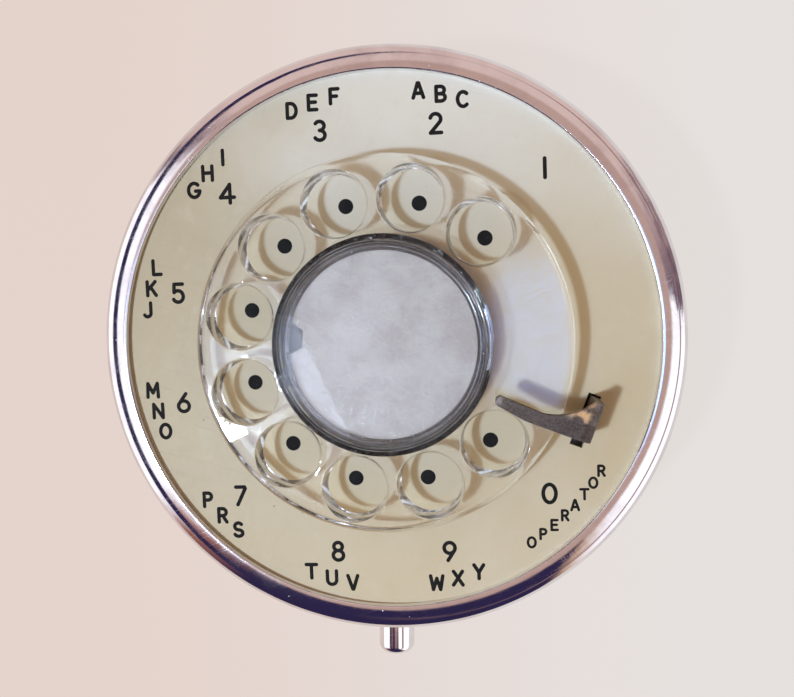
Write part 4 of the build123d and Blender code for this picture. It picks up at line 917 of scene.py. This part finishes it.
def stroke_points(stroke):
    """The points that a stroke passes through, with its arcs divided."""
    points = []
    for item in stroke:
        if len(item) == 2:
            points.append(Vector(item))
            continue
        x, y, wide, high, start, end = item
        steps = max(3, round(abs(end - start) / ARC_STEP))
        for step in range(steps + 1):
            angle = math.radians(start + (end - start) * step / steps)
            points.append(Vector((x + wide * math.cos(angle), y + high * math.sin(angle))))
    return [point for at, point in enumerate(points)
            if at == 0 or (point - points[at - 1]).length > SAME_POINT]


def runs(points):
    """Splits a stroke at its sharp corners."""
    run = points[:2]
    for last, point in zip(points[1:], points[2:]):
        before = (last - run[-2]).normalized()
        if before.dot((point - last).normalized()) < CORNER:
            yield run
            run = [last]
        run.append(point)
    yield run


def bead(curve, points, half_width):
    """One run of ink in a curve: a tube whose radius falls to nothing at round ends."""
    if len(points) == 1:
        points = [points[0] - Vector((0.001, 0)), points[0] + Vector((0.001, 0))]
    head = (points[0] - points[1]).normalized()
    tail = (points[-1] - points[-2]).normalized()
    rounds = [math.radians(angle) for angle in (86, 65, 45, 22)]
    places = [(points[0] + head * half_width * math.sin(turn), math.cos(turn)) for turn in rounds]
    places += [(point, 1.0) for point in points]
    places += [(points[-1] + tail * half_width * math.sin(turn), math.cos(turn))
               for turn in reversed(rounds)]
    spline = curve.splines.new("POLY")
    spline.points.add(len(places) - 1)
    for spot, (place, radius) in zip(spline.points, places):
        spot.co = (place.x, place.y, 0, 1)
        spot.radius = radius


def print_marks(name, half_width, marks):
    """Inks marks on the plate. Each mark is its strokes, height, and centre in millimetres."""
    curve = bpy.data.curves.new(name, "CURVE")
    curve.dimensions = "3D"
    curve.bevel_depth = half_width
    curve.bevel_resolution = 2
    curve.use_fill_caps = True
    for strokes, height, centre in marks:
        for stroke in strokes:
            points = stroke_points(stroke)
            tall = height - 2 * half_width
            placed = []
            for point in points:
                spot = Vector((point.x * tall, (point.y - 0.5) * tall))
                spot.rotate(Matrix.Rotation(LEAN, 2))
                placed.append(spot + centre)
            for run in runs(placed) if len(placed) > 1 else [placed]:
                bead(curve, run, half_width)
    drawn = bpy.data.objects.new(name, curve)
    shape = bmesh.new()
    shape.from_mesh(bpy.data.meshes.new_from_object(drawn))
    bpy.data.objects.remove(drawn)
    bpy.data.curves.remove(curve)
    bmesh.ops.remove_doubles(shape, verts=shape.verts, dist=0.003)
    bmesh.ops.scale(shape, verts=shape.verts, vec=(1, 1, INK_DOME / half_width))
    bmesh.ops.translate(shape, verts=shape.verts, vec=(0, 0, PLATE_TOP))
    return finish_piece(name, shape, "case", ink, sharp=60)


def around(radius, clockwise):
    """A point on the plate, by its angle clockwise from the top."""
    turn = math.radians(90 - clockwise)
    return Vector((radius * math.cos(turn), radius * math.sin(turn)))


print("ink beads are", INK_DOME, "mm high")

# %% [markdown]
# Numbers stand on one ring and their letters on another, outside it. The digit one is a plain bar a
# little further out. The word at zero follows the rim, but its letters stay upright.

# %% Print the plate
NUMBER_R = 44.7
NUMBERS = {"1": 42.1, "2": 12.6, "3": 342.4, "4": 312.7, "5": 283.0, "6": 253.4, "7": 223.8,
           "8": 193.4, "9": 163.4, "0": 132.7}
LETTER_R = 50.5
LETTERS = {"ABC": 12.25, "DEF": 342.7, "GHI": 313.1, "LKJ": 282.6, "MNO": 253.2, "PRS": 223.7,
           "TUV": 193.4, "WXY": 163.3}
LETTER_STEP = 5.1
WORD = "OPERATOR"
WORD_R = 50.0
WORD_START = 144.0
WORD_STEP = 3.34
NUMBER_HIGH = 4.5
LETTER_HIGH = 3.6
WORD_HIGH = 2.55
ONE_OUT = 1.9
DOT_R = 1.55
FIRST_DOT = 43.1

numbers = [(CHARACTERS[digit], NUMBER_HIGH, around(NUMBER_R + ONE_OUT * (digit == "1"), angle))
           for digit, angle in NUMBERS.items()]
letters = []
for group, middle in LETTERS.items():
    # groups over the top read clockwise, and groups at the left and below the other way round
    way = -1 if 90 < middle < 290 else 1
    for place, letter in enumerate(group):
        angle = middle + LETTER_STEP * (place - 1) * way
        letters.append((CHARACTERS[letter], LETTER_HIGH, around(LETTER_R, angle)))
word = [(CHARACTERS[letter], WORD_HIGH, around(WORD_R, WORD_START - WORD_STEP * place))
        for place, letter in enumerate(WORD)]
dots = [([[(0, 0.5)]], 2 * DOT_R, around(HOLE_AT.length, FIRST_DOT - HOLE_PITCH * place))
        for place in range(len(HOLES))]

print_marks("printed_numbers", 0.39, numbers)
print_marks("printed_letters", 0.38, letters)
print_marks("printed_word", 0.27, word)
print_marks("printed_dots", DOT_R, dots)
print(len(numbers) + len(letters) + len(word), "characters and", len(dots), "dots printed")

# %% [markdown]
# ## Softening the pressed and turned parts
#
# Real edges are never knife sharp, and the thin light line along an edge is what makes metal look
# like metal. A copy of a node's mesh is merged, its flat faces are joined again, and its sharp
# edges get a narrow bevel.

# %% Bevelled copies
def softened(name, node, body, finish, width, angle=32, segments=2):
    """A copy of a node with narrow round edges, that stands for it."""
    shape = bmesh.new()
    shape.from_mesh(frame["nodes"][node].data)
    bmesh.ops.scale(shape, verts=shape.verts, vec=(1 / MM, 1 / MM, 1 / MM))
    bmesh.ops.remove_doubles(shape, verts=shape.verts, dist=0.001)
    bmesh.ops.dissolve_limit(
        shape, angle_limit=math.radians(0.5), verts=shape.verts, edges=shape.edges,
        use_dissolve_boundaries=False)
    turned = [edge for edge in shape.edges
              if len(edge.link_faces) == 2 and edge.calc_face_angle(0) > math.radians(angle)]
    bmesh.ops.bevel(
        shape, geom=turned, offset=width, offset_type="OFFSET", segments=segments, profile=0.5,
        affect="EDGES", material=-1, clamp_overlap=True)
    return finish_piece(name, shape, body, finish, [node], sharp=38)


print("a copy of a node can be softened")

# %% [markdown]
# The plunger's spring shortens against its guide as the plunger goes in. Its copy gets narrow round
# edges and a mesh of its own; the joint's travel is read, but the copy keeps its length.

# %% The plunger's spring
JOINTS = {joint["name"]: joint for joint in frame["record"]["behaviour"]["joints"]}
spring_low, spring_high = corners("plunger_spring")
travel = JOINTS["plunger_push"]["range_m"][1] / MM
spring = softened(
    "coiled_plunger_spring", "plunger_spring", "case", wire, 0.02, angle=60)
1 - travel / (spring_high.y - spring_low.y)
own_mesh(spring)
print("spring shortens by", travel, "mm")

# %% [markdown]
# The other parts stay rigid. Each gets a bevel as wide as its own edges would be rounded: most on
# the finger stop, which hands have rubbed, and least on the small screws.

# %% Soften the rest
softened("worn_finger_stop", "finger_stop", "case", worn_stop, 0.22, segments=3)
softened("plunger_flange", "plunger_bushing", "case", chrome, 0.15)
softened("painted_back_cover", "back_cover", "case", dark_paint, 0.2)
softened("cover_screw_heads", "back_cover_screws", "case", nickel, 0.12)
softened("grub_screw_ends", "bezel_screws", "case", nickel, 0.08)
softened("scratched_hub_disc", "hub_disc", "dial", disc, 0.08)
softened("painted_hub_carrier", "hub_carrier", "dial", dark_paint, 0.15)
print("edges softened")

# %% [markdown]
# The plunger is turned from bar: a stem, a collar that stops it, and a polished button end with a
# generous round.

# %% Turn the plunger
PLUNGER_R = 4.0
TIP_ROUND = 1.8
COLLAR_T = 1.5
COLLAR_GAP = 0.3
STEM_R = 2.0
EASE = 0.25
plunger_low, plunger_high = corners("plunger")
plunger_level = (plunger_low.z + plunger_high.z) / 2
collar_r = plunger_high.x
collar_out = -corners("plunger_bushing")[1].y - COLLAR_GAP
tip = -plunger_low.y

button = Outline(0, -plunger_high.y).line(STEM_R - EASE, -plunger_high.y)
button.arc(STEM_R - EASE, -plunger_high.y + EASE, 90, 3)
button.line(STEM_R, collar_out - COLLAR_T).line(collar_r - EASE, collar_out - COLLAR_T)
button.arc(collar_r - EASE, collar_out - COLLAR_T + EASE, 90, 3)
button.line(collar_r, collar_out).line(PLUNGER_R, collar_out).line(PLUNGER_R, tip - TIP_ROUND)
button.arc(PLUNGER_R - TIP_ROUND, tip - TIP_ROUND, 90, 10)
button.line(0, tip)
turned = button.spin(96)
bmesh.ops.rotate(turned, verts=turned.verts, matrix=Matrix.Rotation(math.pi / 2, 3, "X"))
bmesh.ops.translate(turned, verts=turned.verts, vec=(0, 0, plunger_level))
finish_piece("turned_plunger", turned, "push_rod", chrome, ["plunger"])
print("plunger runs from", round(plunger_high.y, 1), "to", round(plunger_low.y, 1), "mm")
